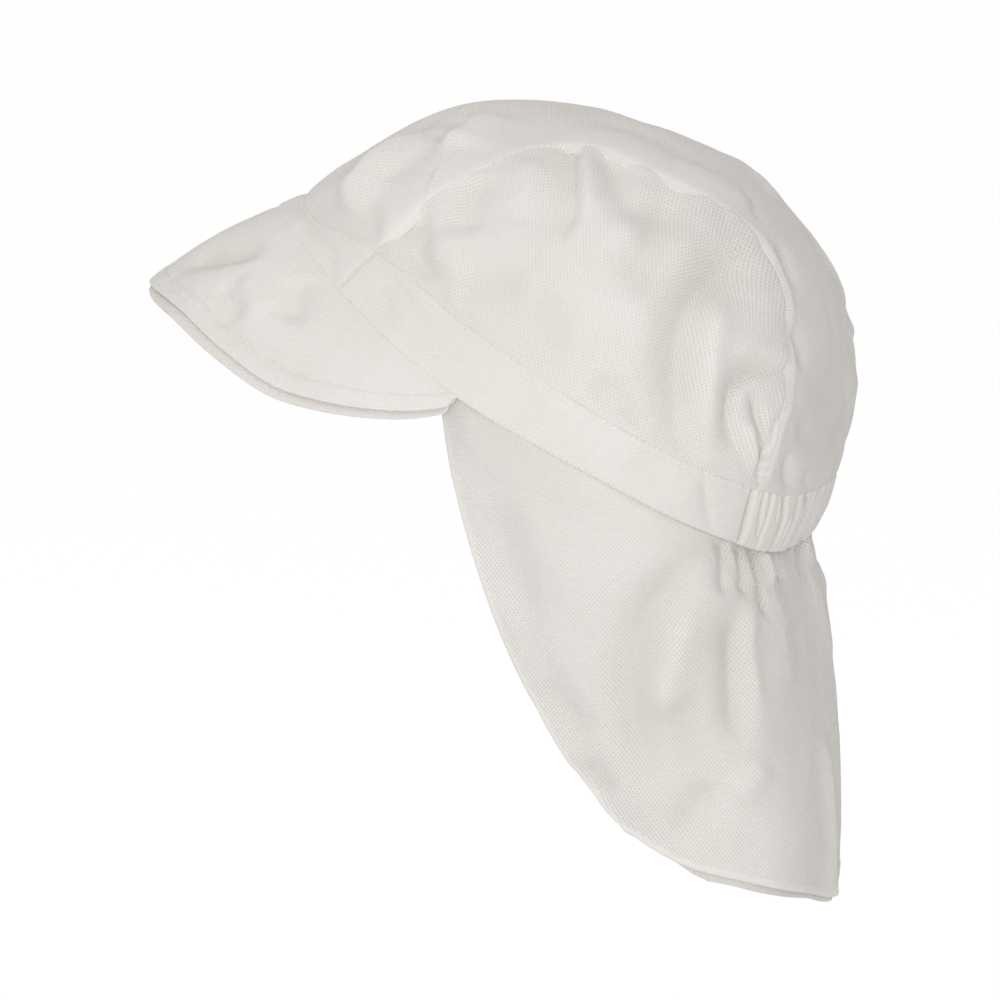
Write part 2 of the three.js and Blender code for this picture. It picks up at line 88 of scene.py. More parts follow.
# Crown ridge: reach of the middle line from the rim centre, and fullness of the sides there
RIDGE = table(
    "angle reach fullness",
    (0, 87.5, 1.0),
    (15, 80.2, 0.97),
    (30, 75.0, 0.95),
    (45, 69.8, 0.9),
    (60, 66.3, 0.85),
    (75, 65.4, 0.82),
    (90, 66.8, 0.8),
    (105, 69.9, 0.8),
    (120, 72.9, 0.8),
    (135, 77.4, 0.82),
    (150, 80.3, 0.85),
    (165, 82.1, 0.87),
    (180, 89.0, 0.9),
)

# Seam between a side panel and the centre strip: how far up each hoop it lies
SEAM = table(
    "hoop up",
    (56.2, 0),
    (59.1, 16.7),
    (62.9, 33.2),
    (67.2, 48.3),
    (70.5, 56.0),
    (75.2, 61.8),
    (80.3, 64.7),
    (86.0, 66.9),
    (98.6, 67.0),
    (110.5, 70.2),
    (117.0, 72.5),
    (124.5, 74.0),
    (132.0, 70.5),
    (137.8, 65.5),
    (144.9, 56.0),
    (150.3, 44.0),
    (152.9, 29.5),
    (155.0, 15.0),
    (156.8, 0),
)
SEAM_STARTS, SEAM_ENDS = SEAM["hoop"][0], SEAM["hoop"][-1]

# Peak by rim angle: depth from the band, droop below the rim plane, and how much of the
# under layer shows
PEAK = table(
    "angle depth droop under",
    (0, 47.4, 58.5, -0.8),
    (6, 47.0, 59.6, 0.0),
    (12, 45.5, 61.0, 1.5),
    (20, 43.2, 62.8, 2.9),
    (36, 39.9, 65.4, 3.4),
    (48, 36.8, 68.4, 3.1),
    (60, 32.3, 71.4, 2.9),
    (68, 26.6, 72.8, 2.8),
    (76, 19.4, 73.5, 2.6),
    (84, 10.6, 74.0, 2.3),
    (89.5, 2.6, 74.0, 1.8),
)
PEAK_END = 88.5
PEAK_ARCH = 2.2
# Least depth of the peak past the seam gap, and half the turn over which its way out is read
PEAK_LEAST = 0.2
WAY_STEP = 0.4

# Neck flap by rim angle: where its hem hangs, how far it bellies out on the way, how far its top
# is tucked under the band, how far its lower part swells, and how much of the turned hem shows
FLAP = table(
    "angle x y z bellyX bellyY tuck swell under",
    (83.8, 50, 34.2, -139.4, -1, -22.5, 4.0, -6, -0.8),
    (92, 49.4, 42.5, -144.6, 0, -19, 2.6, -4, 0.8),
    (100, 48.8, 50, -148.2, 1.6, -15.8, 1.2, -2.6, 4.3),
    (106, 48, 55, -149.9, 2.4, -13, 0.8, -1.6, 3.6),
    (124, 42, 67, -153.3, 5, -5, 1.0, 0, 2.8),
    (142, 31, 75.6, -157.2, 5, 4, 1.4, 0, 2.4),
    (161, 16.5, 80.3, -160.8, 2, 7, 3.4, 0, 1.6),
    (180, 0, 82.2, -164.5, 0, 8, 4.4, 0, 1.4),
)
FLAP_START = 83.8
SWELL_PEAK = 6.75


# Folds. The path runs over the surface in its own two coordinates. left and right are the
# widths to either side of the path, seen from outside. sharp is 2 for a soft roll and 1 for
# a crease. start and end say how much of the depth is left at the two ends.
def fold(path, left, right, depth, sharp, start=0.1, end=0.1):
    return dict(path=path, left=left, right=right, depth=depth, sharp=sharp, start=start, end=end)


# Side panel: the long valley behind the middle, the rolls beside it and the soft dents
PANEL_FOLDS = (
    fold(((126, 72), (123, 57), (120, 44), (120, 34), (122, 24), (127, 12), (133, 1)),
         6.5, 7, -4.8, 1.6, 0.2, 0.5),
    fold(((123, 50), (125, 40), (129, 28), (134, 17), (139, 6)), 6, 5, 3.0, 1.8, 0.1, 0.3),
    fold(((112, 60), (109, 44), (110, 30), (114, 16)), 7, 6, 1.6, 2, 0.2, 0.1),
    fold(((148, 50), (141.5, 40.5), (138, 33), (136.5, 26), (138, 20), (142, 14), (148, 9)),
         2.2, 4.6, -3.2, 1.25, 0.5),
    fold(((148, 55), (141, 46), (135, 40), (131, 30)), 4, 4, 1.8, 1.8, 0.4, 0.1),
    fold(((139, 30), (145, 27), (150, 20), (153.4, 11), (155.4, 2)), 2.2, 2.4, -2.6, 1.3, 0.0, 0.5),
    fold(((143, 22), (148, 16), (152, 8)), 2.6, 2.2, 1.6, 1.7, 0.1, 0.4),
    fold(((150, 36), (152, 27), (155, 16), (158, 3)), 2.0, 2.2, -0.9, 1.4, 0.1, 0.5),
    fold(((76, 63), (83, 51), (88, 42), (90.5, 29)), 1.3, 6.5, -3.0, 1.15, 0.9, 0.0),
    fold(((79, 62.5), (86, 51), (92, 40)), 4, 4, 1.4, 1.8, 0.6, 0.0),
    fold(((62, 11), (67, 6), (74, 2)), 5, 5, -2.2, 1.8, 0.3, 0.3),
    fold(((66, 14), (74, 12), (82, 8)), 5, 5, 1.2, 2, 0.1, 0.1),
    fold(((76, 6), (84, 13), (91, 18)), 6, 5, -1.4, 1.8),
    fold(((66, 38), (69, 28), (74, 18)), 6, 7, -2.0, 1.9, 0.2),
    fold(((73, 52), (76, 40), (80, 30)), 6, 6, 1.2, 2, 0.3),
    fold(((82, 67), (92, 56), (102, 45)), 7, 6, -2.6, 1.7, 0.5, 0.0),
    fold(((102, 66), (104, 52), (106, 43), (110, 26)), 7, 7, -3.2, 1.8, 0.5),
    fold(((94, 64), (98, 50), (103, 36)), 6, 6, 1.6, 2, 0.4, 0.0),
    fold(((108, 8), (116, 6), (124, 2)), 4, 4, -1.9, 1.7, 0.1, 0.4),
    fold(((76, 32), (85, 24), (96, 15)), 6, 6, 1.6, 2, 0.0),
    fold(((94, 22), (98, 12), (104, 4)), 5, 6, -1.4, 1.9),
    fold(((58, 3), (61, 12), (65, 20)), 4, 5, -1.6, 1.6, 0.6, 0.0),
)

# Centre strip: two rolls under a flat top in front, soft dents and a ridge behind
STRIP_FOLDS = (
    fold(((36, 8), (40, 17), (39.5, 27), (38, 38)), 5, 9, 4.4, 1.5, 0.1, 0.9),
    fold(((14, 24), (22, 35), (31, 48), (40, 62)), 8, 7, -2.0, 1.9, 0.1, 0.2),
    fold(((43, 68), (46, 55), (48.5, 42)), 6.5, 4.5, -3.4, 1.5, 0.2, 0.4),
    fold(((46, 20), (48, 28), (49, 36)), 4, 4, -1.0, 1.8, 0.1, 0.5),
    fold(((54, 38), (52, 45), (50, 55), (48, 66)), 4.5, 9, 3.6, 1.5, 0.2, 0.0),
    fold(((26, 1), (40, 5), (54, 3)), 4, 4, -1.6, 1.8, 0.1, 0.5),
    fold(((46, 14), (50, 10), (55, 2)), 3.5, 3.5, -1.4, 1.6, 0.1, 0.7),
    fold(((68, 76), (86, 83), (104, 79)), 6, 6, -0.9, 2),
    fold(((113, 87), (117, 83), (121, 78)), 3, 3, -1.3, 1.7),
    fold(((96, 74), (108, 78), (122, 84)), 5, 6, 0.9, 2, 0.1, 0.3),
    fold(((127, 82), (131, 77), (137, 73)), 3.5, 3, -2.2, 1.6, 0.1, 0.2),
    fold(((110, 104), (120, 97), (128, 94), (136, 91), (147, 86), (155, 83)),
         5.5, 7.5, 1.4, 1.5, 0.1, 0.3),
    fold(((153, 84), (161, 74), (166, 58), (170, 30)), 5.5, 7.5, 0.5, 1.5, 0.4, 0.3),
    fold(((149, 30), (153, 40), (156, 53), (160, 66)), 3.5, 4, 0.6, 1.7, 0.2, 0.0),
    fold(((158, 38), (165, 50), (170, 64), (172, 84)), 4, 4.5, -1.5, 1.8, 0.1, 0.4),
    fold(((140, 101), (149, 95), (157, 97), (166, 104)), 1.2, 1.2, -0.9, 1.2, 0.1, 0.2),
    fold(((140, 60), (147, 62), (153, 60)), 3.5, 4, -1.7, 1.7, 0.3, 0.0),
    fold(((160, 30), (163, 18), (167, 4)), 3, 3, -2.0, 1.4, 0.0, 0.9),
    fold(((171, 34), (174, 18), (176, 3)), 2.5, 2.5, -1.8, 1.4, 0.0, 0.9),
)

# Plain length of the band, by turn and share of its height: slanting creases and soft wrinkles
BAND_FOLDS = (
    fold(((0, 0.8), (8, 0.82), (16, 0.8)), 5, 5, 0.8, 1.8, 1.0, 0.2),
    fold(((56.4, 1), (56.2, 0.52), (55.3, 0)), 1.6, 0.7, -0.9, 1.15, 0.9, 0.6),
    fold(((57.4, 0.95), (57.4, 0.5), (56.6, 0.1)), 1.2, 1.2, 0.35, 1.8, 0.5, 0.5),
    fold(((27.8, 0.96), (40.5, 0.64), (47, 0.46), (53.5, 0.05)), 1.6, 2.6, -0.9, 1.3, 0.5, 0.4),
    fold(((56.5, 1.0), (63, 0.86), (71.5, 0.72), (79.5, 0.66)), 1.8, 3.0, -0.9, 1.5, 0.8, 0.0),
    fold(((62, 0.7), (66, 0.45), (72, 0.2)), 2.5, 2.5, -0.5, 1.8),
    fold(((96, 0.9), (104, 0.5), (108, 0.2)), 4.0, 4.0, -0.5, 2),
    fold(((124, 0.9), (132, 0.5), (134, 0.2)), 4.0, 4.0, -0.5, 2),
    fold(((140, 0.95), (143.5, 0.5), (147.5, 0.15)), 1.6, 2.4, -0.9, 1.4, 0.4, 0.7),
)

# Gathers of the elastic length, from its top edge to its lower edge
GATHERS = (
    fold(((155.0, 0.97), (156.0, 0.5), (157.6, 0.06)), 0.45, 0.95, -2.2, 1.1, 0.7, 0.9),
    fold(((158.6, 1.0), (159.6, 0.62), (162, 0.2)), 0.6, 0.8, -1.2, 1.2, 0.9, 0.3),
    fold(((161.4, 1.0), (162.2, 0.6), (163.5, 0.1)), 0.45, 0.7, -1.3, 1.1, 0.9, 0.5),
    fold(((166.4, 1.0), (167.2, 0.9), (169.2, 0.5), (170.3, 0.04)), 0.5, 1.1, -2.8, 1.1, 0.95, 0.95),
    fold(((171.0, 0.6), (171.8, 0.3), (172.0, 0.06)), 0.5, 0.7, -1.3, 1.1, 0.1, 0.9),
    fold(((172.8, 1.0), (174.2, 0.54), (174.2, 0.04)), 0.5, 1.0, -2.6, 1.1, 0.95, 0.95),
    fold(((178.9, 0.98), (179.3, 0.5), (179.0, 0.06)), 0.6, 0.9, -1.6, 1.2, 0.9, 0.9),
    fold(((180, 0.9), (179.9, 0.5), (180, 0.2)), 0.7, 0.7, -1.0, 1.3, 0.5, 0.5),
    fold(((175.8, 0.98), (177.8, 0.76), (178.6, 0.4), (178.0, 0.04)), 0.5, 0.9, -2.4, 1.1, 0.9, 0.95),
    fold(((164.0, 1.0), (164.8, 0.8), (166.2, 0.5)), 0.5, 0.6, -0.9, 1.2, 0.9, 0.0),
)

# Peak, by angle and share of its depth: soft dents with rolls beside them
PEAK_FOLDS = (
    fold(((12, 0.74), (18, 0.62), (24, 0.50), (30, 0.38), (36, 0.26)), 6, 5, -4.4, 1.7, 0.2, 0.1),
    fold(((27, 0.62), (33, 0.44), (40.5, 0.30)), 4, 4, 1.2, 1.8, 0.1, 0.1),
    fold(((32, 0.61), (38, 0.68), (45, 0.74)), 4.5, 4, -1.8, 1.7, 0.2, 0.1),
    fold(((36, 0.46), (43, 0.52), (49, 0.60)), 4.5, 5, 1.8, 1.7, 0.2, 0.1),
    fold(((47, 0.12), (50.5, 0.27), (53, 0.40), (54, 0.52)), 5, 6, -2.2, 1.7, 0.1, 0.1),
    fold(((34, 0.83), (47, 0.85), (58, 0.82), (68, 0.76)), 6, 3, -1.5, 1.8, 0.1, 0.2),
)

# Neck flap, by turn and share of the way down: long folds from the elastic, and soft dents
FLAP_FOLDS = (
    fold(((150, 0.03), (138, 0.14), (128, 0.26), (122, 0.35), (116, 0.46), (112, 0.55), (110, 0.61),
          (108, 0.70), (106, 0.77), (109, 0.83)), 8, 6.5, -3.9, 1.6, 0.2, 0.1),
    fold(((139, 0.20), (130, 0.36), (122, 0.53), (118, 0.63)), 6, 6.5, 3.2, 1.7),
    fold(((154, 0.18), (148, 0.29), (142, 0.46), (140, 0.54), (141, 0.61)), 6, 6.5, -3.6, 1.6, 0.3, 0.1),
    fold(((147, 0.62), (140, 0.70), (131, 0.78)), 5, 6, 1.6, 1.8),
    fold(((128, 0.47), (125, 0.58), (123, 0.67), (124, 0.75)), 5.5, 6, -2.0, 1.7),
    fold(((162, 0.0), (159.5, 0.07), (156, 0.17)), 2.4, 3.2, -1.9, 1.6, 1.0, 0.0),
    fold(((155, 0.0), (152, 0.08), (147, 0.19)), 2.6, 3.6, -1.6, 1.6, 1.0, 0.0),
    fold(((168, 0), (166.5, 0.05), (165, 0.12), (162, 0.22)), 2.0, 2.8, -3.4, 1.4, 1.0, 0.0),
    fold(((160, 0.12), (154, 0.24), (150, 0.38), (149, 0.52)), 4, 5, 1.8, 1.7, 0.2, 0.1),
    fold(((173, 0.0), (174.5, 0.05), (178, 0.11)), 2.0, 2.4, -2.2, 1.4, 0.9, 0.0),
    fold(((180, 0.5), (180, 0.8), (180, 1.0)), 5, 5, 1.6, 1.6, 0.0, 1.0),
    fold(((170, 0.0), (171, 0.05), (169, 0.12)), 2.2, 2.0, 1.4, 1.7, 0.3, 0.0),
    fold(((174, 0.10), (168, 0.25), (165, 0.43)), 7, 7, 1.2, 1.9),
    fold(((100, 0.93), (110, 0.88), (120, 0.80), (129, 0.72)), 5, 5.5, -2.0, 1.8),
    fold(((88, 0.60), (92, 0.66), (96, 0.72)), 6, 7, -1.1, 2),
    fold(((88, 0.78), (88, 0.83), (90, 0.88)), 5, 5, -1.4, 2),
    fold(((92, 0.2), (94, 0.34), (95, 0.48)), 7, 8, -1.4, 2),
)


def read_table(rows, key, column, at, mirrored=False):
    """A smooth curve through a table; with mirrored, it runs level over the middle plane."""
    x, y = rows[key], rows[column]
    last = len(x) - 1
    slopes = np.empty(len(x))
    for k in range(len(x)):
        a, b = max(k - 1, 0), min(k + 1, last)
        level = mirrored and x[k] % MIRROR == 0
        slopes[k] = 0 if level else (y[b] - y[a]) / (x[b] - x[a])
    value = np.clip(at, x[0], x[-1])
    i = np.clip(np.searchsorted(x, value, side="left") - 1, 0, last - 1)
    span = x[i + 1] - x[i]
    f = (value - x[i]) / span
    f2, f3 = f * f, f * f * f
    ends = y[i] * (2 * f3 - 3 * f2 + 1) + y[i + 1] * (3 * f2 - 2 * f3)
    return ends + slopes[i] * span * (f3 - 2 * f2 + f) + slopes[i + 1] * span * (f3 - f2)


def smoothstep(f):
    c = np.clip(f, 0, 1)
    return c * c * (3 - 2 * c)


def ramp(value, start, length):
    """Goes smoothly from 0 at start to 1 a length further on; the length may be negative."""
    return smoothstep((value - start) / length)


def bell(distance, width):
    return np.exp(-((distance / width) ** 2))


def from_rim(across, along, up):
    """Rim coordinates (across, along to the back, up from the rim plane) in the hat's axes."""
    c, s = math.cos(RIM_TILT), math.sin(RIM_TILT)
    return np.stack(np.broadcast_arrays(across, along * c + up * s, -along * s + up * c), -1)


def rim_plan(angle, inset):
    """Outline of the rim seen along its axis: an egg, round in front and square behind."""
    size = np.abs(angle)
    a = np.radians(size)
    back = smoothstep((size - BACK_STARTS) / BACK_BLEND)
    front = smoothstep((FRONT_ENDS - size) / FRONT_ENDS)
    power = 1 + (BACK_SQUARENESS - 1) * back + (FRONT_SQUARENESS - 1) * front
    wide = np.clip(np.sin(a), 0, None) ** power * (1 - RIM_EGG * np.cos(a))
    length = np.where(size > TOP, RIM_BACK_LENGTH, RIM_FRONT_LENGTH)
    return np.sign(angle) * (RIM_HALF_WIDTH - inset) * wide, -(length - inset) * np.cos(a)


def band_edge(angle, edge, inset=0.0):
    size = np.abs(angle)
    lean = read_table(BAND, "angle", "lean", size, True) if edge == "up" else 0
    across, along = rim_plan(angle, lean + inset)
    return across, along, read_table(BAND, "angle", edge, size, True)


def crown_base(hoop, up):
    """Crown: hoops from the band over the ridge; above 90 a hoop comes down the far side."""
    hoop, up = np.broadcast_arrays(np.asarray(hoop, float), np.asarray(up, float))
    side = np.where(up > TOP, -1, 1)
    near = np.where(up > TOP, MIRROR - up, up)
    foot = band_edge(hoop, "up")
    reach = read_table(RIDGE, "angle", "reach", hoop)
    fullness = read_table(RIDGE, "angle", "fullness", hoop)
    a, b = np.radians(hoop), np.radians(near)
    ridge_along = -reach * np.cos(a)
    ridge_up = reach * np.sin(a) + foot[2] * np.cos(a) ** 2
    rise = np.sin(b)
    return from_rim(
        side * foot[0] * np.clip(np.cos(b), 0, None) ** fullness,
        foot[1] + (ridge_along - foot[1]) * rise * rise,
        foot[2] + (ridge_up - foot[2]) * rise,
    )


def seam_up(hoop):
    inside = (hoop > SEAM_STARTS) & (hoop < SEAM_ENDS)
    return np.where(inside, np.maximum(read_table(SEAM, "hoop", "up", hoop), 0), 0)


def near_turn(turn):
    """An angle past the middle of the back as the same place on the near side, and its side."""
    return MIRROR - np.abs(np.asarray(turn, float) - MIRROR), np.where(np.asarray(turn) > MIRROR, -1, 1)


def band_base(turn, height):
    near, side = near_turn(turn)
    foot, head = from_rim(*band_edge(near, "low")), from_rim(*band_edge(near, "up"))
    point = foot + (head - foot) * np.asarray(height, float)[..., None]
    point[..., 0] *= side
    return point


def peak_base(angle, out, extra=0.0):
    """Peak: out and down from the band's lower edge, arched between band and edge."""
    size = np.abs(angle)
    depth = read_table(PEAK, "angle", "depth", size, True)
    droop = np.radians(read_table(PEAK, "angle", "droop", size, True))
    root = band_edge(angle, "low")
    x0, y0 = rim_plan(angle - WAY_STEP, 0)
    x1, y1 = rim_plan(angle + WAY_STEP, 0)
    across, along = y1 - y0, x0 - x1
    length = np.hypot(across, along)
    reach = SEAM_GAP + np.maximum(depth - SEAM_GAP, PEAK_LEAST) * out + extra
    arch = PEAK_ARCH * (depth / PEAK["depth"][0]) * np.sin(np.pi * np.minimum(out, 1))
    outward = reach * np.cos(droop) + arch * np.sin(droop)
    down = reach * np.sin(droop) - arch * np.cos(droop)
    return from_rim(root[0] + outward * across / length, root[1] + outward * along / length, root[2] - down)


def flap_base(turn, down):
    """Neck flap: hangs from the band's lower edge round the back."""
    near, side = near_turn(turn)

    def read(column):
        return read_table(FLAP, "angle", column, near, not column.lower().endswith("x"))

    root = band_edge(near, "low", read("tuck"))
    top = from_rim(root[0], root[1], root[2] - SEAM_GAP)
    hem = np.stack([read("x"), read("y"), read("z")], -1)
    middle = (top + hem) / 2
    middle[..., 0] += read("bellyX")
    middle[..., 1] += read("bellyY")
    d = np.asarray(down, float)[..., None]
    point = top * (1 - d) ** 2 + middle * 2 * d * (1 - d) + hem * d * d
    point[..., 2] += read("swell") * SWELL_PEAK * (d * d * (1 - d))[..., 0]
    point[..., 0] *= side
    return point


# Points of a smoothed fold path, widths to which a fold reaches, the radius that rounds a crease,
# and the share of a fold's length over which its depth fades at each end
PATH_POINTS = 28
FOLD_REACH = 3.2
CREASE_RADIUS = 0.18
FOLD_FADE = 0.3
# Depth of fold at which its floor takes the full painted shade, and how much a rise takes off that painted
# shade
FULL_SHADE_DEPTH = 4.0
RISE_CLEARS = 0.5
# Keeps a division by a length from failing where the length is nothing
TINY = 1e-12


def smooth_path(points):
    """An even run of points on a smooth curve through the given ones."""
    p = np.array(points, float)
    ends = np.vstack([2 * p[0] - p[1], p, 2 * p[-1] - p[-2]])
    t = np.linspace(0, len(p) - 1, PATH_POINTS)
    i = np.minimum(t.astype(int), len(p) - 2)
    f = (t - i)[:, None]
    a, b, c, d = ends[i], ends[i + 1], ends[i + 2], ends[i + 3]
    slope, bend, twist = c - a, 2 * a - 5 * b + 4 * c - d, 3 * b - a - 3 * c + d
    return 0.5 * (2 * b + slope * f + bend * f ** 2 + twist * f ** 3)


def outward_of(points, inside):
    """Normals of a grid of points, all turned away from the place inside."""
    normal = np.cross(np.gradient(points, axis=0), np.gradient(points, axis=1))
    normal /= np.linalg.norm(normal, axis=-1, keepdims=True) + TINY
    way = np.sign(((points - inside) * normal).sum(-1).mean())
    return normal * way


def fold_height(folds, surface, points, outward):
    """How far the folds push each point out, or in, and how much painted shade they lay on it, from 0 to 1.

    The far side takes the near side's folds.
    """
    side = np.where(points[..., 0] < 0, -1.0, 1.0)[..., None] * np.array([1, 0, 0]) + np.array([0, 1, 1])
    near = (points * side).reshape(-1, 3)
    facing = (outward * side).reshape(-1, 3)
    height, painted_shade = np.zeros(len(near)), np.zeros(len(near))
    for item in folds:
        path = smooth_path(item["path"])
        line = surface(path[:, 0], path[:, 1])
        reach = FOLD_REACH * max(item["left"], item["right"])
        inside = ((near > line.min(0) - reach) & (near < line.max(0) + reach)).all(1)
        at = np.flatnonzero(inside)
        if not len(at):
            continue
        run = line[1:] - line[:-1]
        length = np.linalg.norm(run, axis=1)
        gap = near[at, None, :] - line[None, :-1]
        f = np.clip((gap * run).sum(-1) / np.maximum(length ** 2, TINY), 0, 1)
        gap = gap - f[..., None] * run
        distance = np.linalg.norm(gap, axis=-1)
        best = distance.argmin(1)
        row = np.arange(len(at))
        lean = (np.cross(facing[at], run[best]) * gap[row, best]).sum(-1)
        width = np.where(lean > 0, item["left"], item["right"])
        place = (np.concatenate([[0], length.cumsum()])[best] + f[row, best] * length[best]) / length.sum()
        start = item["start"] + (1 - item["start"]) * smoothstep(place / FOLD_FADE)
        end = item["end"] + (1 - item["end"]) * smoothstep((1 - place) / FOLD_FADE)
        away = np.sqrt(distance[row, best] ** 2 + CREASE_RADIUS ** 2)
        push = item["depth"] * start * end * np.exp(-((away / width) ** item["sharp"]))
        height[at] += push
        # Painted shade: fold floors are darkened by how deep the fold is
        painted_shade[at] -= np.minimum(push, 0) / FULL_SHADE_DEPTH
    painted_shade = (painted_shade - RISE_CLEARS * np.maximum(height, 0) / FULL_SHADE_DEPTH).clip(0, 1)
    return height.reshape(points.shape[:2]), painted_shade.reshape(points.shape[:2])


# Waves in a smooth random height, and how often the slowest and the quickest of them come in the
# length asked for
WAVES = 11
WAVE_RANGE = (0.6, 1.5)
# Height and length of the bumps that worn jersey has everywhere, slow ones first
EASE = ((0.45, 46), (0.16, 17), (0.05, 7))


def uneven(points, seed, length):
    """A smooth uneven height over the points, about -1 to 1, in bumps of about that length."""
    random = np.random.default_rng(seed)
    way = random.normal(size=(WAVES, 3))
    size = np.linalg.norm(way, axis=1)[:, None]
    way *= (2 * np.pi / length) * random.uniform(*WAVE_RANGE, (WAVES, 1)) / size
    phase = random.uniform(0, 2 * np.pi, WAVES)
    return np.sin(points @ way.T + phase).sum(-1) / math.sqrt(WAVES * 2)


def bumpy(points, seed, bumps=EASE):
    """Uneven heights laid over each other; bumps holds the height and length of each."""
    return sum(high * uneven(points, seed + k, length) for k, (high, length) in enumerate(bumps))


# A grid is read up to just short of its last row and column
LAST_SHY = 1.0001


def read_grid(grid, row, column):
    """Values of a grid at fractional rows and columns."""
    r = np.clip(row, 0, grid.shape[0] - LAST_SHY)
    c = np.clip(column, 0, grid.shape[1] - LAST_SHY)
    i, j = r.astype(int), c.astype(int)
    f, g = (r - i)[:, None], (c - j)[:, None]
    return (
        grid[i, j] * (1 - f) * (1 - g) + grid[i + 1, j] * f * (1 - g)
        + grid[i, j + 1] * (1 - f) * g + grid[i + 1, j + 1] * f * g
    )


# Steps of the half round that closes the edge of a sheet of cloth
EDGE_TURNS = 4


def cloth_shell(name, outer, outward, thickness, uv, marks):
    """A closed sheet of cloth: the outer grid, the same grid one thickness in, round edges."""
    rows, columns = outer.shape[:2]
    count = rows * columns
    deep = np.broadcast_to(np.asarray(thickness, float), (rows, columns))
    inner = outer - outward * deep[..., None]
    at = np.arange(count).reshape(rows, columns)
    ring = np.concatenate([at[0, :-1], at[:-1, -1], at[-1, :0:-1], at[:0:-1, 0]])
    step = np.concatenate([at[1, :-1], at[:-1, -2], at[-2, :0:-1], at[:0:-1, 1]])
    flat, normal = outer.reshape(-1, 3), outward.reshape(-1, 3)[ring]
    away = flat[ring] - flat[step]
    away -= normal * (away * normal).sum(1, keepdims=True)
    away /= np.linalg.norm(away, axis=1, keepdims=True) + TINY
    half = deep.reshape(-1)[ring][:, None] / 2
    centre = flat[ring] - normal * half
    loops, uvs = [flat, inner.reshape(-1, 3)], [uv.reshape(-1, 2), uv.reshape(-1, 2)]
    full = np.ones((rows, columns))
    marks = {key: (full * grid).ravel() for key, grid in marks.items()}
    masks = {key: [grid, grid] for key, grid in marks.items()}
    chain = [ring]
    for k in range(1, EDGE_TURNS):
        a = np.pi * k / EDGE_TURNS
        chain.append(2 * count + (k - 1) * len(ring) + np.arange(len(ring)))
        loops.append(centre + normal * half * math.cos(a) + away * half * math.sin(a))
        uvs.append(uv.reshape(-1, 2)[ring])
        for key, grid in marks.items():
            masks[key].append(grid[ring])
    chain.append(ring + count)
    corners = [at[:-1, :-1], at[1:, :-1], at[1:, 1:], at[:-1, 1:]]
    face = np.stack([c.ravel() for c in corners], 1)
    faces = [face, face[:, ::-1] + count]
    for a, b in zip(chain[:-1], chain[1:]):
        faces.append(np.stack([a, np.roll(a, -1), np.roll(b, -1), b], 1))
    return mesh_piece(name, np.vstack(loops), np.vstack(faces), np.vstack(uvs),
                      {key: np.concatenate(grids) for key, grids in masks.items()})


def mesh_piece(name, points, faces, uvs, marks):
    """A smooth object from points in millimetres, faces turned outwards."""
    a, b, c, d = (points[faces[:, k]] for k in range(4))
    volume = (a * np.cross(b, c)).sum() + (a * np.cross(c, d)).sum()
    if volume < 0:
        faces = faces[:, ::-1]
    mesh = bpy.data.meshes.new(name)
    mesh.from_pydata((points * MM).tolist(), [], faces.tolist())
    mesh.uv_layers.new(name="cloth").data.foreach_set("uv", (uvs[faces.ravel()] * MM).ravel())
    for key, values in marks.items():
        mesh.attributes.new(key, "FLOAT", "POINT").data.foreach_set("value", values)
    mesh.shade_smooth()
    mesh.update()
    piece = bpy.data.objects.new(name, mesh)
    bpy.context.scene.collection.objects.link(piece)
    return piece


def run_of(points, axis):
    """Length along one axis of a grid of points, measured from the middle of that axis."""
    step = np.linalg.norm(np.diff(points, axis=axis), axis=-1)
    pad = [(1, 0), (0, 0)] if axis == 0 else [(0, 0), (1, 0)]
    run = np.pad(step, pad).cumsum(axis)
    return run - np.take(run, [run.shape[axis] // 2], axis)


def uv_from(first, second):
    return np.stack(np.broadcast_arrays(first, second), -1)


# A piece goes on under its neighbour in steps this long, at these depths below its surface
TUCK_STEP = 0.7
TUCK_DEPTHS = (0.15, 0.6, 1.1, 1.5)


def tucked(outer, outward, uv, grids, far_end=False):
    """Carries a grid on past its first column, and past its last one, in behind its neighbour."""
    for last in ([False, True] if far_end else [False]):
        edge, next_to, order = (-1, -2, 1) if last else (0, 1, -1)
        way = np.cross(np.gradient(outer[:, edge], axis=0), outward[:, edge])
        way /= np.linalg.norm(way, axis=-1, keepdims=True) + TINY
        way *= np.sign((way * (outer[:, edge] - outer[:, next_to])).sum())
        uv_way = uv[:, edge] - uv[:, next_to]
        uv_way /= np.linalg.norm(uv_way, axis=-1, keepdims=True) + TINY
        more, more_uv = [], []
        for k, depth in enumerate(TUCK_DEPTHS):
            more.append(outer[:, edge] + way * TUCK_STEP * (k + 1) - outward[:, edge] * depth)
            more_uv.append(uv[:, edge] + uv_way * TUCK_STEP * (k + 1))
        held = np.repeat(outward[:, [edge]], len(TUCK_DEPTHS), 1)
        pairs = ((outer, np.stack(more[::order], 1)), (outward, held), (uv, np.stack(more_uv[::order], 1)))
        outer, outward, uv = (np.concatenate(p if last else p[::-1], 1) for p in pairs)
        pad = [(0, 0), (0, len(TUCK_DEPTHS)) if last else (len(TUCK_DEPTHS), 0)]
        grids = [np.pad(grid, pad, "edge") for grid in grids]
    return outer, outward, uv, grids


# Pieces of cloth, each as a grid of outer points with its normals

# Places inside the hat that the normals are turned away from
HEAD_CENTRE = np.array([0.0, 0.0, 0.0])
BELOW_PEAK = np.array([0.0, 0.0, -80.0])
NECK = np.array([0.0, 20.0, -90.0])
# How far cloth stops short of the seam line and of the band, in degrees up the hoop
SEAM_SHY = 0.3
FOOT_SHY = 0.5
# Points measured in one go
AT_ONCE = 4000


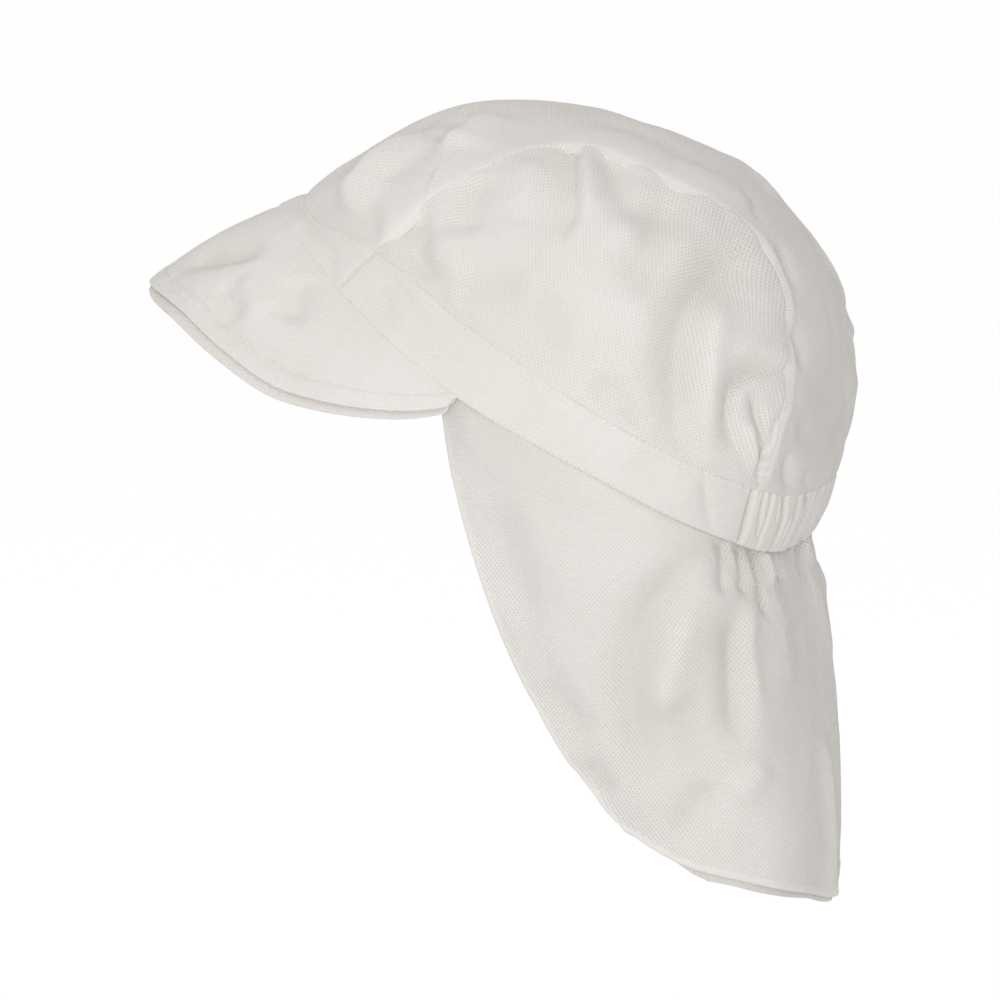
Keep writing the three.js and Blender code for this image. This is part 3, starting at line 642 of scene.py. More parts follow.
def nearest(points, line):
    """Distance from each point of a grid to a line of points."""
    flat = points.reshape(-1, 3)
    away = np.empty(len(flat))
    for start in range(0, len(flat), AT_ONCE):
        part = flat[start:start + AT_ONCE, None, :] - line[None]
        away[start:start + AT_ONCE] = np.sqrt((part ** 2).sum(-1).min(1))
    return away.reshape(points.shape[:2])


# How much the seam's steepness counts when hoops are spaced along it, and hoops tried for that
STEEP_COUNTS = 0.6
HOOPS_TRIED = 4000


def even_hoops(first, last, count):
    """Hoops spaced so that the seam's points stay evenly spaced too."""
    fine = np.linspace(first, last, HOOPS_TRIED)
    steep = np.abs(np.gradient(seam_up(fine), fine))
    steps = np.sqrt(1 + STEEP_COUNTS * (steep[1:] + steep[:-1]) ** 2 / 4)
    weight = np.concatenate([[0], steps.cumsum()])
    return np.interp(np.linspace(0, weight[-1], count), weight, fine)


# The seam as a line: hoops left out at its ends, and its points
LINE_SHY, LINE_POINTS = 0.1, 320
SEAM_LINE_HOOPS = even_hoops(SEAM_STARTS + LINE_SHY, SEAM_ENDS - LINE_SHY, LINE_POINTS)


def seam_line(side):
    line = crown_base(SEAM_LINE_HOOPS, seam_up(SEAM_LINE_HOOPS))
    return line * np.array([side, 1, 1])


# An angle this far below the ridge's first one, in radians, belongs behind its last one
WRAP_MARGIN = 0.6
RIDGE_POINTS = 361


def ridge_run(points):
    """Length along the hat's middle line, front to back, of the place above each point."""
    angle = np.linspace(0, MIRROR, RIDGE_POINTS)
    ridge = crown_base(angle, np.full(RIDGE_POINTS, TOP))
    turn = np.unwrap(np.arctan2(ridge[:, 2], -ridge[:, 1]))
    run = np.concatenate([[0], np.linalg.norm(np.diff(ridge, axis=0), axis=1).cumsum()])
    at = np.arctan2(points[..., 2], -points[..., 1])
    at = np.where(at < turn[0] - WRAP_MARGIN, at + 2 * np.pi, at)
    return np.interp(at, turn, run)


def pucker(points, seed, length, away, reach, high):
    """Small bumps beside a seam, which die out with the distance away from it."""
    return uneven(points, seed, length) * np.exp(-away / reach) * high


# Radii that the cloth of the crown is unrolled over, and the middle of the side panels
PANEL_WIDE, PANEL_HIGH = 98.0, 82.0
PANEL_MIDDLE = np.array([0.0, 8.0, 10.0])
STRIP_ROUND = 82.0

# Crown: points of the grids, depth of the folds against their tables, and the seed of its ease
SEAM_COLUMNS, PANEL_ROWS, STRIP_ROWS = 190, 96, 150
CROWN_RELIEF = 1.25
CROWN_SEED = 41
# The dip along the band: its depth and width, and the distance from it where folds start
FOOT_DIP, FOOT_DIP_WIDE, FOOT_RUN = 0.32, 2.0, 5

# Stretches of hoops, each as the hoop where it starts and the hoops it takes to come in full.
# Behind the middle of the crown the strip rolls over the panel and the seam lies deep.
DEEP_SEAM = (119, 14)
HELD_BEHIND = (146, 5)
GROOVE_EASES = (148, 5)
LOW_FRONT = (34, -12)
SLOW_FRONT = (50, -14)
PLAIN_FRONT = (84, -10)

# Side panels: hoops left free at both ends, and the foot as first hoop, last hoop and points
PANEL_SHY = 0.25
PANEL_FOOT = (50, 160, 300)
# How much of the folds the seam holds flat beside it, and how far from it
HELD, HELD_REACH = 0.75, 1.6
# The groove along the seam: depth and width, more width where it lies deep, and how much it eases
GROOVE, GROOVE_WIDE, GROOVE_WIDER, GROOVE_EASE = 0.25, 0.9, 0.6, 0.6


def side_panel(side, sizes, seed):
    to_side = np.array([side, 1, 1])
    hoops = even_hoops(SEAM_STARTS + PANEL_SHY, SEAM_ENDS - PANEL_SHY, SEAM_COLUMNS)[:, None]
    share = np.linspace(0, 1, PANEL_ROWS)[None]
    top = np.maximum(seam_up(hoops) - SEAM_SHY, 2 * FOOT_SHY)
    up = FOOT_SHY + (top - FOOT_SHY) * share
    base = crown_base(hoops, up) * to_side
    outward = outward_of(base, HEAD_CENTRE)
    folds, painted_shade = fold_height(PANEL_FOLDS, crown_base, base, outward)
    shared, painted_shade_too = fold_height(STRIP_FOLDS, crown_base, base, outward)
    foot_hoops = np.linspace(*PANEL_FOOT)
    from_foot = nearest(base, crown_base(foot_hoops, np.zeros(len(foot_hoops))) * to_side)
    from_seam = nearest(base, seam_line(side))
    deep = ramp(hoops, *DEEP_SEAM)
    tight = HELD * (1 - deep) + HELD * ramp(hoops, *HELD_BEHIND)
    free = 1 - np.exp(-from_seam / HELD_REACH) * tight
    height = CROWN_RELIEF * (folds * free + shared) + bumpy(base, CROWN_SEED)
    pull = pucker(base, seed + 5, length=9, away=from_seam, reach=6, high=0.26)
    pull += pucker(base, seed + 6, length=8, away=from_foot, reach=5, high=0.35)
    height = (height + pull) * smoothstep(from_foot / FOOT_RUN) - FOOT_DIP * bell(from_foot, FOOT_DIP_WIDE)
    groove = GROOVE + deep * (1 - GROOVE_EASE * ramp(hoops, *GROOVE_EASES))
    height -= groove * bell(from_seam, GROOVE_WIDE + GROOVE_WIDER * deep)
    outer = base + outward * height[..., None]
    across = PANEL_WIDE * np.arcsin(np.clip((base[..., 1] - PANEL_MIDDLE[1]) / PANEL_WIDE, -1, 1))
    along = PANEL_HIGH * np.arcsin(np.clip((base[..., 2] - PANEL_MIDDLE[2]) / PANEL_HIGH, -1, 1))
    # Painted shade of the panel's own folds and of the strip's folds, whichever is more
    painted_shade = np.maximum(painted_shade, painted_shade_too)
    outer, outward, uv, (painted_shade,) = tucked(outer, outward, uv_from(across, along), [painted_shade], True)
    return outer, outward, uv, sizes.crown_cloth / MM, dict(plain=0, painted_shade=painted_shade)


# Centre strip: its hoops before and behind the seam, as first, last and how many
STRIP_BEFORE, STRIP_BEHIND = (0.6, 55.6, 62), (157.4, 179.4, 26)
STRIP_FOOT_POINTS = 500
# The roll beside its seams, and the nick in them: height, more of it where the seam is deep,
# and width. The roll's middle lies this far in, and the roll starts this far from the band.
ROLL, ROLL_MORE, ROLL_WIDE, ROLL_IN = 0.05, 0.37, 1.8, 1.6
NICK, NICK_MORE, NICK_WIDE = 0.12, 0.1, 0.6
ROLL_RUN = 3
# In front the folds start higher up, and the cloth rolls over the band: height and more width
SLOW_RUN = 11
FRONT_ROLL, FRONT_ROLL_WIDER = 0.85, 3
# Where the middle of the strip lies smooth, by half width and stretch of hoops, and how smooth
CALM_PLACES = ((20, 108, 14), (15, 70, -14))
CALM = 0.8
# Broad swells over the middle: hoop, half length in hoops, half width and height
SWELLS = ((32, 14, 17, 2.1), (163, 8, 45, -1.0))
# The strip's low front ends show hardly any knit: how plain they are, from how far out and over
# what distance they become it
PLAIN_ENDS, PLAIN_FROM, PLAIN_RUN = 0.8, 46, 10


def centre_strip(sizes):
    middle_hoops = even_hoops(SEAM_STARTS, SEAM_ENDS, SEAM_COLUMNS)
    hoops = np.concatenate([np.linspace(*STRIP_BEFORE), middle_hoops, np.linspace(*STRIP_BEHIND)])[:, None]
    share = np.linspace(0, 1, STRIP_ROWS)[None]
    foot = np.maximum(seam_up(hoops) + SEAM_SHY, FOOT_SHY)
    base = crown_base(hoops, foot + (MIRROR - 2 * foot) * share)
    outward = outward_of(base, HEAD_CENTRE)
    folds, painted_shade = fold_height(STRIP_FOLDS, crown_base, base, outward)
    height = CROWN_RELIEF * folds + bumpy(base, CROWN_SEED)
    edge = np.linspace(0, MIRROR, STRIP_FOOT_POINTS)
    rim = np.concatenate([crown_base(edge, np.full(len(edge), up)) for up in (0, MIRROR)])
    from_foot = nearest(base, rim)
    from_seam = nearest(base, np.concatenate([seam_line(1), seam_line(-1)]))
    from_middle = base[..., 0]
    deep = ramp(hoops, *DEEP_SEAM)
    roll = (ROLL + ROLL_MORE * deep) * bell(from_seam - ROLL_IN, ROLL_WIDE)
    roll -= (NICK + NICK_MORE * deep) * bell(from_seam, NICK_WIDE)
    rise = smoothstep(from_foot / (FOOT_RUN + SLOW_RUN * ramp(hoops, *SLOW_FRONT)))
    height *= 1 - CALM * sum(bell(from_middle, wide) * ramp(hoops, *run) for wide, *run in CALM_PLACES)
    for hoop, long, wide, high in SWELLS:
        height += high * bell(hoops - hoop, long) * bell(from_middle, wide)
    front = ramp(hoops, *LOW_FRONT)
    height = height * rise + roll * smoothstep(from_foot / ROLL_RUN)
    height += (FRONT_ROLL * front - FOOT_DIP) * bell(from_foot, FOOT_DIP_WIDE + FRONT_ROLL_WIDER * front)
    outer = base + outward * height[..., None]
    across = STRIP_ROUND * np.arcsin(np.clip(from_middle / STRIP_ROUND, -1, 1))
    plain = PLAIN_ENDS * ramp(np.abs(from_middle), PLAIN_FROM, PLAIN_RUN) * ramp(hoops, *PLAIN_FRONT)
    uv = uv_from(across, ridge_run(base))
    outer, outward, uv, grids = tucked(outer, outward, uv, [painted_shade, plain], True)
    turned = (grid.swapaxes(0, 1) for grid in (outer, outward, uv))
    outer, outward, uv, grids = tucked(*turned, [grid.T for grid in grids], True)
    outer, outward, uv = (grid.swapaxes(0, 1) for grid in (outer, outward, uv))
    painted_shade, plain = (grid.T for grid in grids)
    return outer, outward, uv, sizes.crown_cloth / MM, dict(plain=plain, painted_shade=painted_shade)


# How far the band's stitches lie below its top edge
TOPSTITCH_IN = 1.7
# How far the last rows of the band stop short of its edges, where the rounded cloth edge takes over
BAND_TOP_SHY, BAND_FOOT_SHY = 0.6, 0.7
# The plain band and the gathered length meet in the first gather, which slants, with a small gap
JOIN_TOP, JOIN_FOOT = 151.2, 154.8
JOIN_GAP = 0.1
# How much of the worn jersey's bumps the stretched band keeps
BAND_EASE = 0.4


def join_turn(share):
    return JOIN_FOOT + (JOIN_TOP - JOIN_FOOT) * share


def band_wall(middle, reach, columns, rows, folds, seed):
    """The length of the band on both sides of a middle turn, as far as reach gives for each height."""
    side = np.linspace(-1, 1, columns)[:, None]
    far = middle + side * reach(np.full((1, 1), 0.5))
    foot, head = (band_base(far, np.full((1, 1), height)) for height in (0.0, 1.0))
    tall = np.linalg.norm(head - foot, axis=-1)
    shown = 1 - (BAND_FOOT_SHY + BAND_TOP_SHY) / tall
    share = BAND_FOOT_SHY / tall + shown * np.linspace(0, 1, rows)[None]
    turn = middle + side * reach(share)
    base = band_base(turn, share)
    outward = outward_of(base, HEAD_CENTRE)
    height, painted_shade = fold_height(folds, band_base, base, outward)
    height += BAND_EASE * bumpy(base, seed)
    high, low = band_base(turn[:, -1], np.ones(columns)), band_base(turn[:, 0], np.zeros(columns))
    return base, outward, height, painted_shade, nearest(base, high), nearest(base, low), turn


def belly(from_foot, from_top):
    """From 0 at the two edges of the band to 1 half way between them."""
    return np.sin(np.pi * from_foot / (from_foot + from_top))


# Plain band: points of its grid, how far it bellies out and is drawn in, its soft wrinkles as
# height and length, the pull of the stitches with its width, and the line that they press in
BAND_GRID = (560, 26)
BAND_BELLY, DRAWN_IN = 0.3, 0.12
WRINKLE, WRINKLE_LONG = 0.3, 15
BAND_PULL, PULL_WIDE = ((0.1, 4), (0.14, 11)), 2.5
PRESS, PRESS_WIDE = 0.2, 0.45


def headband(sizes, seed):
    base, outward, height, painted_shade, from_top, from_foot, _ = band_wall(
        0, lambda share: join_turn(share) - JOIN_GAP, *BAND_GRID, BAND_FOLDS, seed)
    pull = bumpy(base, seed + 7, BAND_PULL)
    from_stitch = from_top - TOPSTITCH_IN
    height += WRINKLE * uneven(base, seed + 9, WRINKLE_LONG)
    height += pull * bell(from_stitch, PULL_WIDE) - PRESS * bell(from_stitch, PRESS_WIDE)
    height += BAND_BELLY * belly(from_foot, from_top) - DRAWN_IN
    outer = base + outward * height[..., None]
    uv = uv_from(run_of(base, 0), run_of(base, 1))
    return outer, outward, uv, sizes.band_cloth / MM, dict(plain=0, painted_shade=painted_shade)


# Gathered length: points of its grid, how much deeper its gathers are than their table, how it
# puffs out between its edges, from the join on, and the fine gathers along both edges
GATHER_GRID = (520, 40)
GATHER_DEEPER = 0.5
PUFF, PUFF_MORE, PUFF_RUN, PUFF_ROUND = 0.3, 0.75, 9, 0.8
FINE_GATHER, FINE_LONG, FINE_UNEVEN, FINE_WIDE = 0.12, 2.1, 1.4, 2.5
# Length of cloth drawn into each length of the band
CLOTH_DRAWN = 1.4


def gathered_band(sizes, seed):
    base, outward, height, painted_shade, from_top, from_foot, turn = band_wall(
        MIRROR, lambda share: MIRROR - join_turn(share) - JOIN_GAP, *GATHER_GRID, GATHERS, seed)
    height = height + GATHER_DEEPER * np.minimum(height, 0)
    puff = PUFF + PUFF_MORE * ramp(near_turn(turn)[0], JOIN_TOP, PUFF_RUN)
    height += puff * belly(from_foot, from_top) ** PUFF_ROUND - DRAWN_IN
    run = run_of(base, 0)
    fine = np.cos(run * 2 * np.pi / FINE_LONG + FINE_UNEVEN * uneven(base, seed + 3, 9))
    height += FINE_GATHER * fine * (bell(from_top, FINE_WIDE) + bell(from_foot, FINE_WIDE))
    outer = base + outward * height[..., None]
    uv = uv_from(run * CLOTH_DRAWN, run_of(base, 1))
    # The gathers take twice the painted shade of their folds
    return outer, outward, uv, sizes.band_cloth / MM, dict(plain=0, painted_shade=np.minimum(2 * painted_shade, 1))


# Peak: points of its grid, how its rows close up to the edge, and its ease
PEAK_GRID = (330, 58)
PEAK_ROWS_CLOSE = 0.9
PEAK_EASE = 0.55
# The grid starts this far from the band, and is never shorter than this
PEAK_FROM_BAND, PEAK_SHORTEST = 0.15, 0.6
# The two layers close up over this distance from the edge, by this much, and by more round the
# tip of the peak, up to this angle; the stitches lie this far in from the edge
CLOSE_RUN, CLOSE, CLOSE_TIP, PEAK_TIP_ENDS = 12, 0.25, 0.4, 14
PEAK_STITCH_IN = 6.0


def peak_layer(drop, under, thick, seed):
    columns, rows = PEAK_GRID
    angle = np.linspace(-PEAK_END, PEAK_END, columns)[:, None]
    depth = read_table(PEAK, "angle", "depth", np.abs(angle), True)
    shown = read_table(PEAK, "angle", "under", np.abs(angle)) if under else 0 * angle
    share = np.linspace(0, 1, rows)[None] ** PEAK_ROWS_CLOSE
    reach = np.maximum(depth + shown - thick / 2, PEAK_SHORTEST) * share + PEAK_FROM_BAND
    out, extra = np.minimum(reach / depth, 1), np.maximum(reach - depth, 0)
    angle, out, extra = np.broadcast_arrays(angle, out, extra)
    base = peak_base(angle, out, extra)
    outward = outward_of(base, BELOW_PEAK)
    height, painted_shade = fold_height(PEAK_FOLDS, peak_base, peak_base(angle, out), outward)
    height += PEAK_EASE * bumpy(base, seed)
    from_edge = depth - reach
    tip = smoothstep(1 - np.abs(angle) / PEAK_TIP_ENDS)
    closing = smoothstep(1 - from_edge / CLOSE_RUN) * (CLOSE + CLOSE_TIP * tip)
    return base, outward, height - drop * (1 - closing), painted_shade, from_edge, reach


# The peak's cloth thins by this share towards its edge, over this distance
EDGE_THIN, EDGE_THIN_RUN = 0.4, 5
# Its stitches: their pull over the cloth, which starts from the edge, the step beside them and the
# line pressed in
PEAK_PULL, PEAK_PULL_WIDE, PULL_RISE = ((0.16, 5), (0.14, 9)), 3.5, (-0.4, 2)
EDGE_STEP, EDGE_STEP_RUN = 0.3, 0.8
PEAK_PRESS, PEAK_PRESS_WIDE = 0.4, 0.55
ROOT_DIP, ROOT_DIP_WIDE = 0.3, 1.5


def peak_thickness(thick, from_edge):
    return thick * (1 - EDGE_THIN * smoothstep(1 - from_edge / EDGE_THIN_RUN))


def peak_top(sizes, seed):
    thick = sizes.peak_cloth / MM
    base, outward, height, painted_shade, from_edge, from_root = peak_layer(0, False, thick, seed)
    from_stitch = from_edge - PEAK_STITCH_IN
    pull = bumpy(base, seed + 7, PEAK_PULL)
    height += pull * bell(from_stitch, PEAK_PULL_WIDE) * ramp(from_edge, *PULL_RISE)
    height += EDGE_STEP * ramp(from_stitch, EDGE_STEP_RUN / 2, -EDGE_STEP_RUN)
    height -= PEAK_PRESS * bell(from_stitch, PEAK_PRESS_WIDE)
    height -= ROOT_DIP * bell(from_root, ROOT_DIP_WIDE)
    outer = base + outward * height[..., None]
    outer, outward, uv, (thick, from_edge, painted_shade) = tucked(
        outer, outward, uv_from(run_of(base, 0)[:, :1], from_root),
        [peak_thickness(thick, from_edge), from_edge, painted_shade])
    return outer, outward, uv, thick, dict(plain=0, painted_shade=painted_shade), from_edge


# Under layer: its thickness against the upper one's, how far it lies below it, and how much painted shade it
# takes towards the edge, where it lies under the upper layer, over this distance
UNDER_THICK = 0.85
UNDER_DROP = 1.3
UNDER_EDGE_SHADE, UNDER_EDGE_SHADE_RUN = 0.25, 3


def peak_under(sizes, seed):
    thick = sizes.peak_cloth / MM * UNDER_THICK
    base, outward, height, _, from_edge, from_root = peak_layer(UNDER_DROP + SEAM_GAP, True, thick, seed)
    outer = base + outward * height[..., None]
    # Painted shade on the under layer, growing towards its edge below the upper layer
    outer, outward, uv, (thick, painted_shade) = tucked(
        outer, outward, uv_from(run_of(base, 0)[:, :1], from_root),
        [peak_thickness(thick, from_edge), UNDER_EDGE_SHADE * smoothstep(1 - from_edge / UNDER_EDGE_SHADE_RUN)])
    return outer, outward, uv, thick, dict(plain=0, painted_shade=painted_shade)


# Neck flap: points of its grid and its front edges, how its columns draw together behind and
# its rows at top and hem, how far its rows stop short of both as shares of its height, and how
# much of its folds and bumps it takes
FLAP_GRID = (380, 118)
FRONT_EDGE_POINTS = 400
FLAP_COLUMNS_CLOSE, FLAP_ROWS_CLOSE = 0.2, 0.08
FLAP_SHY = 0.004
FLAP_RELIEF = 1.3
FLAP_EASE = 0.9
# Widths of the turned cloth along its hem and its front edges, each with the distance over which
# it steps up, and how much higher and thicker it is
FLAP_HEM, HEM_STEP = 2.4, 0.7
FLAP_EDGE, EDGE_RUN = 1.2, 0.5
HEM_RISE, HEM_THICKER = 0.4, 0.5
# The groove of the hem's stitches: share of the rise, place from the step and width
HEM_PRESS, HEM_PRESS_IN, HEM_PRESS_WIDE = 0.7, 0.8, 0.35
# Small gathers below the elastic: middle turn, half width, height, length of each, how far down
# they go, how much they waver and how soon they start
GATHER_TURN, GATHER_HALF, GATHER_HIGH, GATHER_LONG, GATHER_DOWN = 170, 16, 0.5, 6.3, 12
GATHER_WAVER, GATHER_WAVER_LONG, GATHER_START = 1.9, 16, 1.5
# The seam under the band holds the cloth: how it rises from there, the dip along it, and the
# puckers along the hem as height, length and distance from the hem
TOP_RISE = (-0.3, 3)
TOP_DIP, TOP_DIP_WIDE = 0.15, 1.4
HEM_PUCKER, HEM_PUCKER_LONG, HEM_PUCKER_WIDE = 0.12, 5, 4


def level_run(points):
    """Length round the flap from the middle of the back, leaving out rise and fall."""
    return run_of(points * np.array([1, 1, 0]), 0)


def flap_line(turns, down):
    """A line on the bare flap; turns and down are each a value or a run of values."""
    return flap_base(*(np.array(values) for values in np.broadcast_arrays(turns, down)))


def neck_flap(sizes, seed):
    columns, rows = FLAP_GRID
    side = np.linspace(-1, 1, columns)[:, None]
    even = 1 - FLAP_COLUMNS_CLOSE
    turn = MIRROR + (MIRROR - FLAP_START) * side * (even + FLAP_COLUMNS_CLOSE * side ** 2)
    share = np.linspace(0, 1, rows)[None]
    down = FLAP_SHY + (1 - 2 * FLAP_SHY) * (share - FLAP_ROWS_CLOSE * np.sin(2 * np.pi * share))
    turn, down = np.broadcast_arrays(turn, down)
    base = flap_base(turn, down)
    outward = outward_of(base, NECK)
    from_top = np.linalg.norm(base - flap_line(turn[:, 0], 0.0)[:, None], axis=-1)
    folds, painted_shade = fold_height(FLAP_FOLDS, flap_base, base, outward)
    height = FLAP_RELIEF * folds + FLAP_EASE * bumpy(base, seed)
    from_hem = nearest(base, flap_line(turn[:, 0], 1.0))
    front_ends = (FLAP_START, 2 * MIRROR - FLAP_START)
    front_edges = [flap_line(end, np.linspace(0, 1, FRONT_EDGE_POINTS)) for end in front_ends]
    from_side = nearest(base, np.concatenate(front_edges))
    gather = bell(near_turn(turn)[0] - GATHER_TURN, GATHER_HALF)
    waver = GATHER_WAVER * uneven(base, seed + 4, GATHER_WAVER_LONG)
    fine = np.cos(run_of(base, 0)[:, :1] * 2 * np.pi / GATHER_LONG + waver)
    fade = np.exp(-from_top / GATHER_DOWN) * smoothstep(from_top / GATHER_START)
    height += gather * fine * GATHER_HIGH * fade
    height *= ramp(from_top, *TOP_RISE)
    hem = ramp(from_hem, FLAP_HEM, -HEM_STEP)
    front = ramp(from_side, FLAP_EDGE, -EDGE_RUN)
    height += HEM_RISE * hem * (1 - HEM_PRESS * bell(from_hem - FLAP_HEM + HEM_PRESS_IN, HEM_PRESS_WIDE))
    height += HEM_PUCKER * uneven(base, seed + 9, HEM_PUCKER_LONG) * bell(from_hem, HEM_PUCKER_WIDE)
    height += HEM_RISE * front
    height -= TOP_DIP * bell(from_top, TOP_DIP_WIDE)
    outer = base + outward * height[..., None]
    edge = np.clip(hem + front, 0, 1)
    thick = sizes.flap_cloth / MM * (1 + HEM_THICKER * edge)
    outer, outward, uv, (thick, edge, painted_shade) = tucked(
        outer, outward, uv_from(level_run(base), base[..., 2]), [thick, edge, painted_shade])
    return outer, outward, uv, thick, dict(plain=edge, painted_shade=painted_shade)


# Turned hem: points of its grid, degrees left free at its front ends, its thickness against the
# flap's, how far it reaches up behind the flap, and how far inside the flap's outer face it lies
TURNED_GRID = (300, 14)
TURNED_SHY = 5
TURNED_THICK = 0.8
TURNED_UP = 9.0
TURNED_IN = 1.9
TURNED_EASE = ((0.3, 30),)


def turned_hem(sizes, seed):
    columns, rows = TURNED_GRID
    start = FLAP_START + TURNED_SHY
    turn = np.linspace(start, 2 * MIRROR - start, columns)[:, None]
    shows = read_table(FLAP, "angle", "under", near_turn(turn)[0])
    tall = np.linalg.norm(flap_line(turn[:, 0], 1.0) - flap_line(turn[:, 0], 0.0), axis=-1)
    share = np.linspace(0, 1, rows)[None]
    down = 1 + (shows * share - TURNED_UP * (1 - share)) / tall[:, None]
    turn, down = np.broadcast_arrays(turn, down)
    base = flap_base(turn, down)
    outward = outward_of(base, NECK)
    folds, _ = fold_height(FLAP_FOLDS, flap_base, base, outward)
    height = FLAP_RELIEF * folds - TURNED_IN + bumpy(base, seed, TURNED_EASE)
    outer = base + outward * height[..., None]
    uv = uv_from(level_run(base), base[..., 2])
    # The turned hem behind the flap takes half of the painted shade all over
    return outer, outward, uv, sizes.flap_cloth / MM * TURNED_THICK, dict(plain=0, painted_shade=0.5)


# Shader node groups
def node_group(name, kind, inputs, outputs):
    tree = bpy.data.node_groups.new(name, kind)
    for label, socket, value in inputs:
        item = tree.interface.new_socket(name=label, in_out="INPUT", socket_type=socket)
        if value is not None:
            item.default_value = value
    for label, socket in outputs:
        tree.interface.new_socket(name=label, in_out="OUTPUT", socket_type=socket)
    return tree, tree.nodes.new("NodeGroupInput"), tree.nodes.new("NodeGroupOutput")


class Wires:
    """Short ways to place nodes in one tree; a value may be a number, a vector or a socket."""

    def __init__(self, tree):
        self.tree = tree

    def join(self, socket, value):
        if isinstance(value, bpy.types.NodeSocket):
            self.tree.links.new(value, socket)
        elif value is not None:
            socket.default_value = value

    def maths(self, operation, *values):
        node = self.tree.nodes.new("ShaderNodeMath")
        node.operation = operation
        for socket, value in zip(node.inputs, values):
            self.join(socket, value)
        return node.outputs[0]

    def steps(self, value, low, high, to_low=0.0, to_high=1.0):
        node = self.tree.nodes.new("ShaderNodeMapRange")
        node.interpolation_type = "SMOOTHSTEP"
        for label, setting in (("Value", value), ("From Min", low), ("From Max", high),
                               ("To Min", to_low), ("To Max", to_high)):
            self.join(node.inputs[label], setting)
        return node.outputs["Result"]

    def noise(self, vector, scale, detail=3.0, roughness=0.5):
        node = self.tree.nodes.new("ShaderNodeTexNoise")
        self.join(node.inputs["Vector"], vector)
        self.join(node.inputs["Scale"], scale)
        node.inputs["Detail"].default_value = detail
        node.inputs["Roughness"].default_value = roughness
        return node.outputs["Fac"]

    def split(self, vector):
        node = self.tree.nodes.new("ShaderNodeSeparateXYZ")
        self.join(node.inputs[0], vector)
        return node.outputs[0], node.outputs[1]

    def blend(self, factor, first, second):
        node = self.tree.nodes.new("ShaderNodeMix")
        node.data_type = "RGBA"
        self.join(node.inputs["Factor"], factor)
        self.join(node.inputs[6], first)
        self.join(node.inputs[7], second)
        return node.outputs[2]


TURN = 2 * math.pi


def mesh_knit_group():
    """Coarse birdseye knit: staggered oval eyes between small raised loops."""
    tree, start, end = node_group(
        "mesh_knit", "ShaderNodeTree",
        [("Vector", "NodeSocketVector", None), ("Across", "NodeSocketFloat", 0.0012),
         ("Along", "NodeSocketFloat", 0.0015), ("Eye", "NodeSocketFloat", 0.5)],
        [("Gaps", "NodeSocketFloat"), ("Height", "NodeSocketFloat")],
    )
    w = Wires(tree)
    x, y = w.split(start.outputs["Vector"])
    a = w.maths("MULTIPLY", w.maths("DIVIDE", x, start.outputs["Across"]), TURN)
    b = w.maths("MULTIPLY", w.maths("DIVIDE", y, start.outputs["Along"]), TURN)
    lattice = w.maths("MULTIPLY", w.maths("COSINE", a), w.maths("COSINE", b))
    eyes = w.steps(lattice, w.maths("SUBTRACT", 0.92, start.outputs["Eye"]), 1.0)
    double = [w.maths("SINE", w.maths("MULTIPLY", value, 2.0)) for value in (a, b)]
    ribs = w.maths("MULTIPLY", *double)
    height = w.maths("SUBTRACT", w.maths("MULTIPLY", ribs, 0.12), eyes)
    tree.links.new(eyes, end.inputs["Gaps"])
    tree.links.new(height, end.inputs["Height"])
    return tree


def fine_knit_group():
    """Fine jersey: columns of small slanting loops."""
    tree, start, end = node_group(
        "fine_knit", "ShaderNodeTree",
        [("Vector", "NodeSocketVector", None), ("Across", "NodeSocketFloat", 0.0007),
         ("Along", "NodeSocketFloat", 0.0006), ("Eye", "NodeSocketFloat", 0.5)],
        [("Gaps", "NodeSocketFloat"), ("Height", "NodeSocketFloat")],
    )
    w = Wires(tree)
    x, y = w.split(start.outputs["Vector"])
    a = w.maths("DIVIDE", x, start.outputs["Across"])
    b = w.maths("DIVIDE", y, start.outputs["Along"])
    column = w.maths("ABSOLUTE", w.maths("SINE", w.maths("MULTIPLY", a, math.pi)))
    slant = w.maths("PINGPONG", a, 0.5)
    loop = w.maths("SINE", w.maths("MULTIPLY", w.maths("ADD", b, slant), TURN))
    gaps = w.steps(column, start.outputs["Eye"], 0.0)
    height = w.maths("ADD", w.maths("MULTIPLY", loop, 0.3), column)
    tree.links.new(gaps, end.inputs["Gaps"])
    tree.links.new(height, end.inputs["Height"])
    return tree


def cloth_tone_group():
    """Slow change of tone over a piece, and the fuzz of its yarn."""
    tree, start, end = node_group(
        "cloth_tone", "ShaderNodeTree",
        [("Vector", "NodeSocketVector", None), ("Slow", "NodeSocketFloat", 22.0),
         ("Fuzz", "NodeSocketFloat", 2600.0)],
        [("Tone", "NodeSocketFloat"), ("Nap", "NodeSocketFloat")],
    )
    w = Wires(tree)
    tone = w.noise(start.outputs["Vector"], start.outputs["Slow"], 4.0, 0.6)
    nap = w.noise(start.outputs["Vector"], start.outputs["Fuzz"], 2.0, 0.6)
    tree.links.new(w.steps(tone, 0.3, 0.7), end.inputs["Tone"])
    tree.links.new(nap, end.inputs["Nap"])
    return tree


MADE = {}


def made(name, make):
    """What make gives, made once and then used again."""
    if name not in MADE:
        MADE[name] = make()
    return MADE[name]


# How much of the gap colour is in the nap, and how much of the painted shade colour lies where the painted
# shade is full
NAP_TINT = 0.16
PAINTED_SHADE_TINT = 0.24


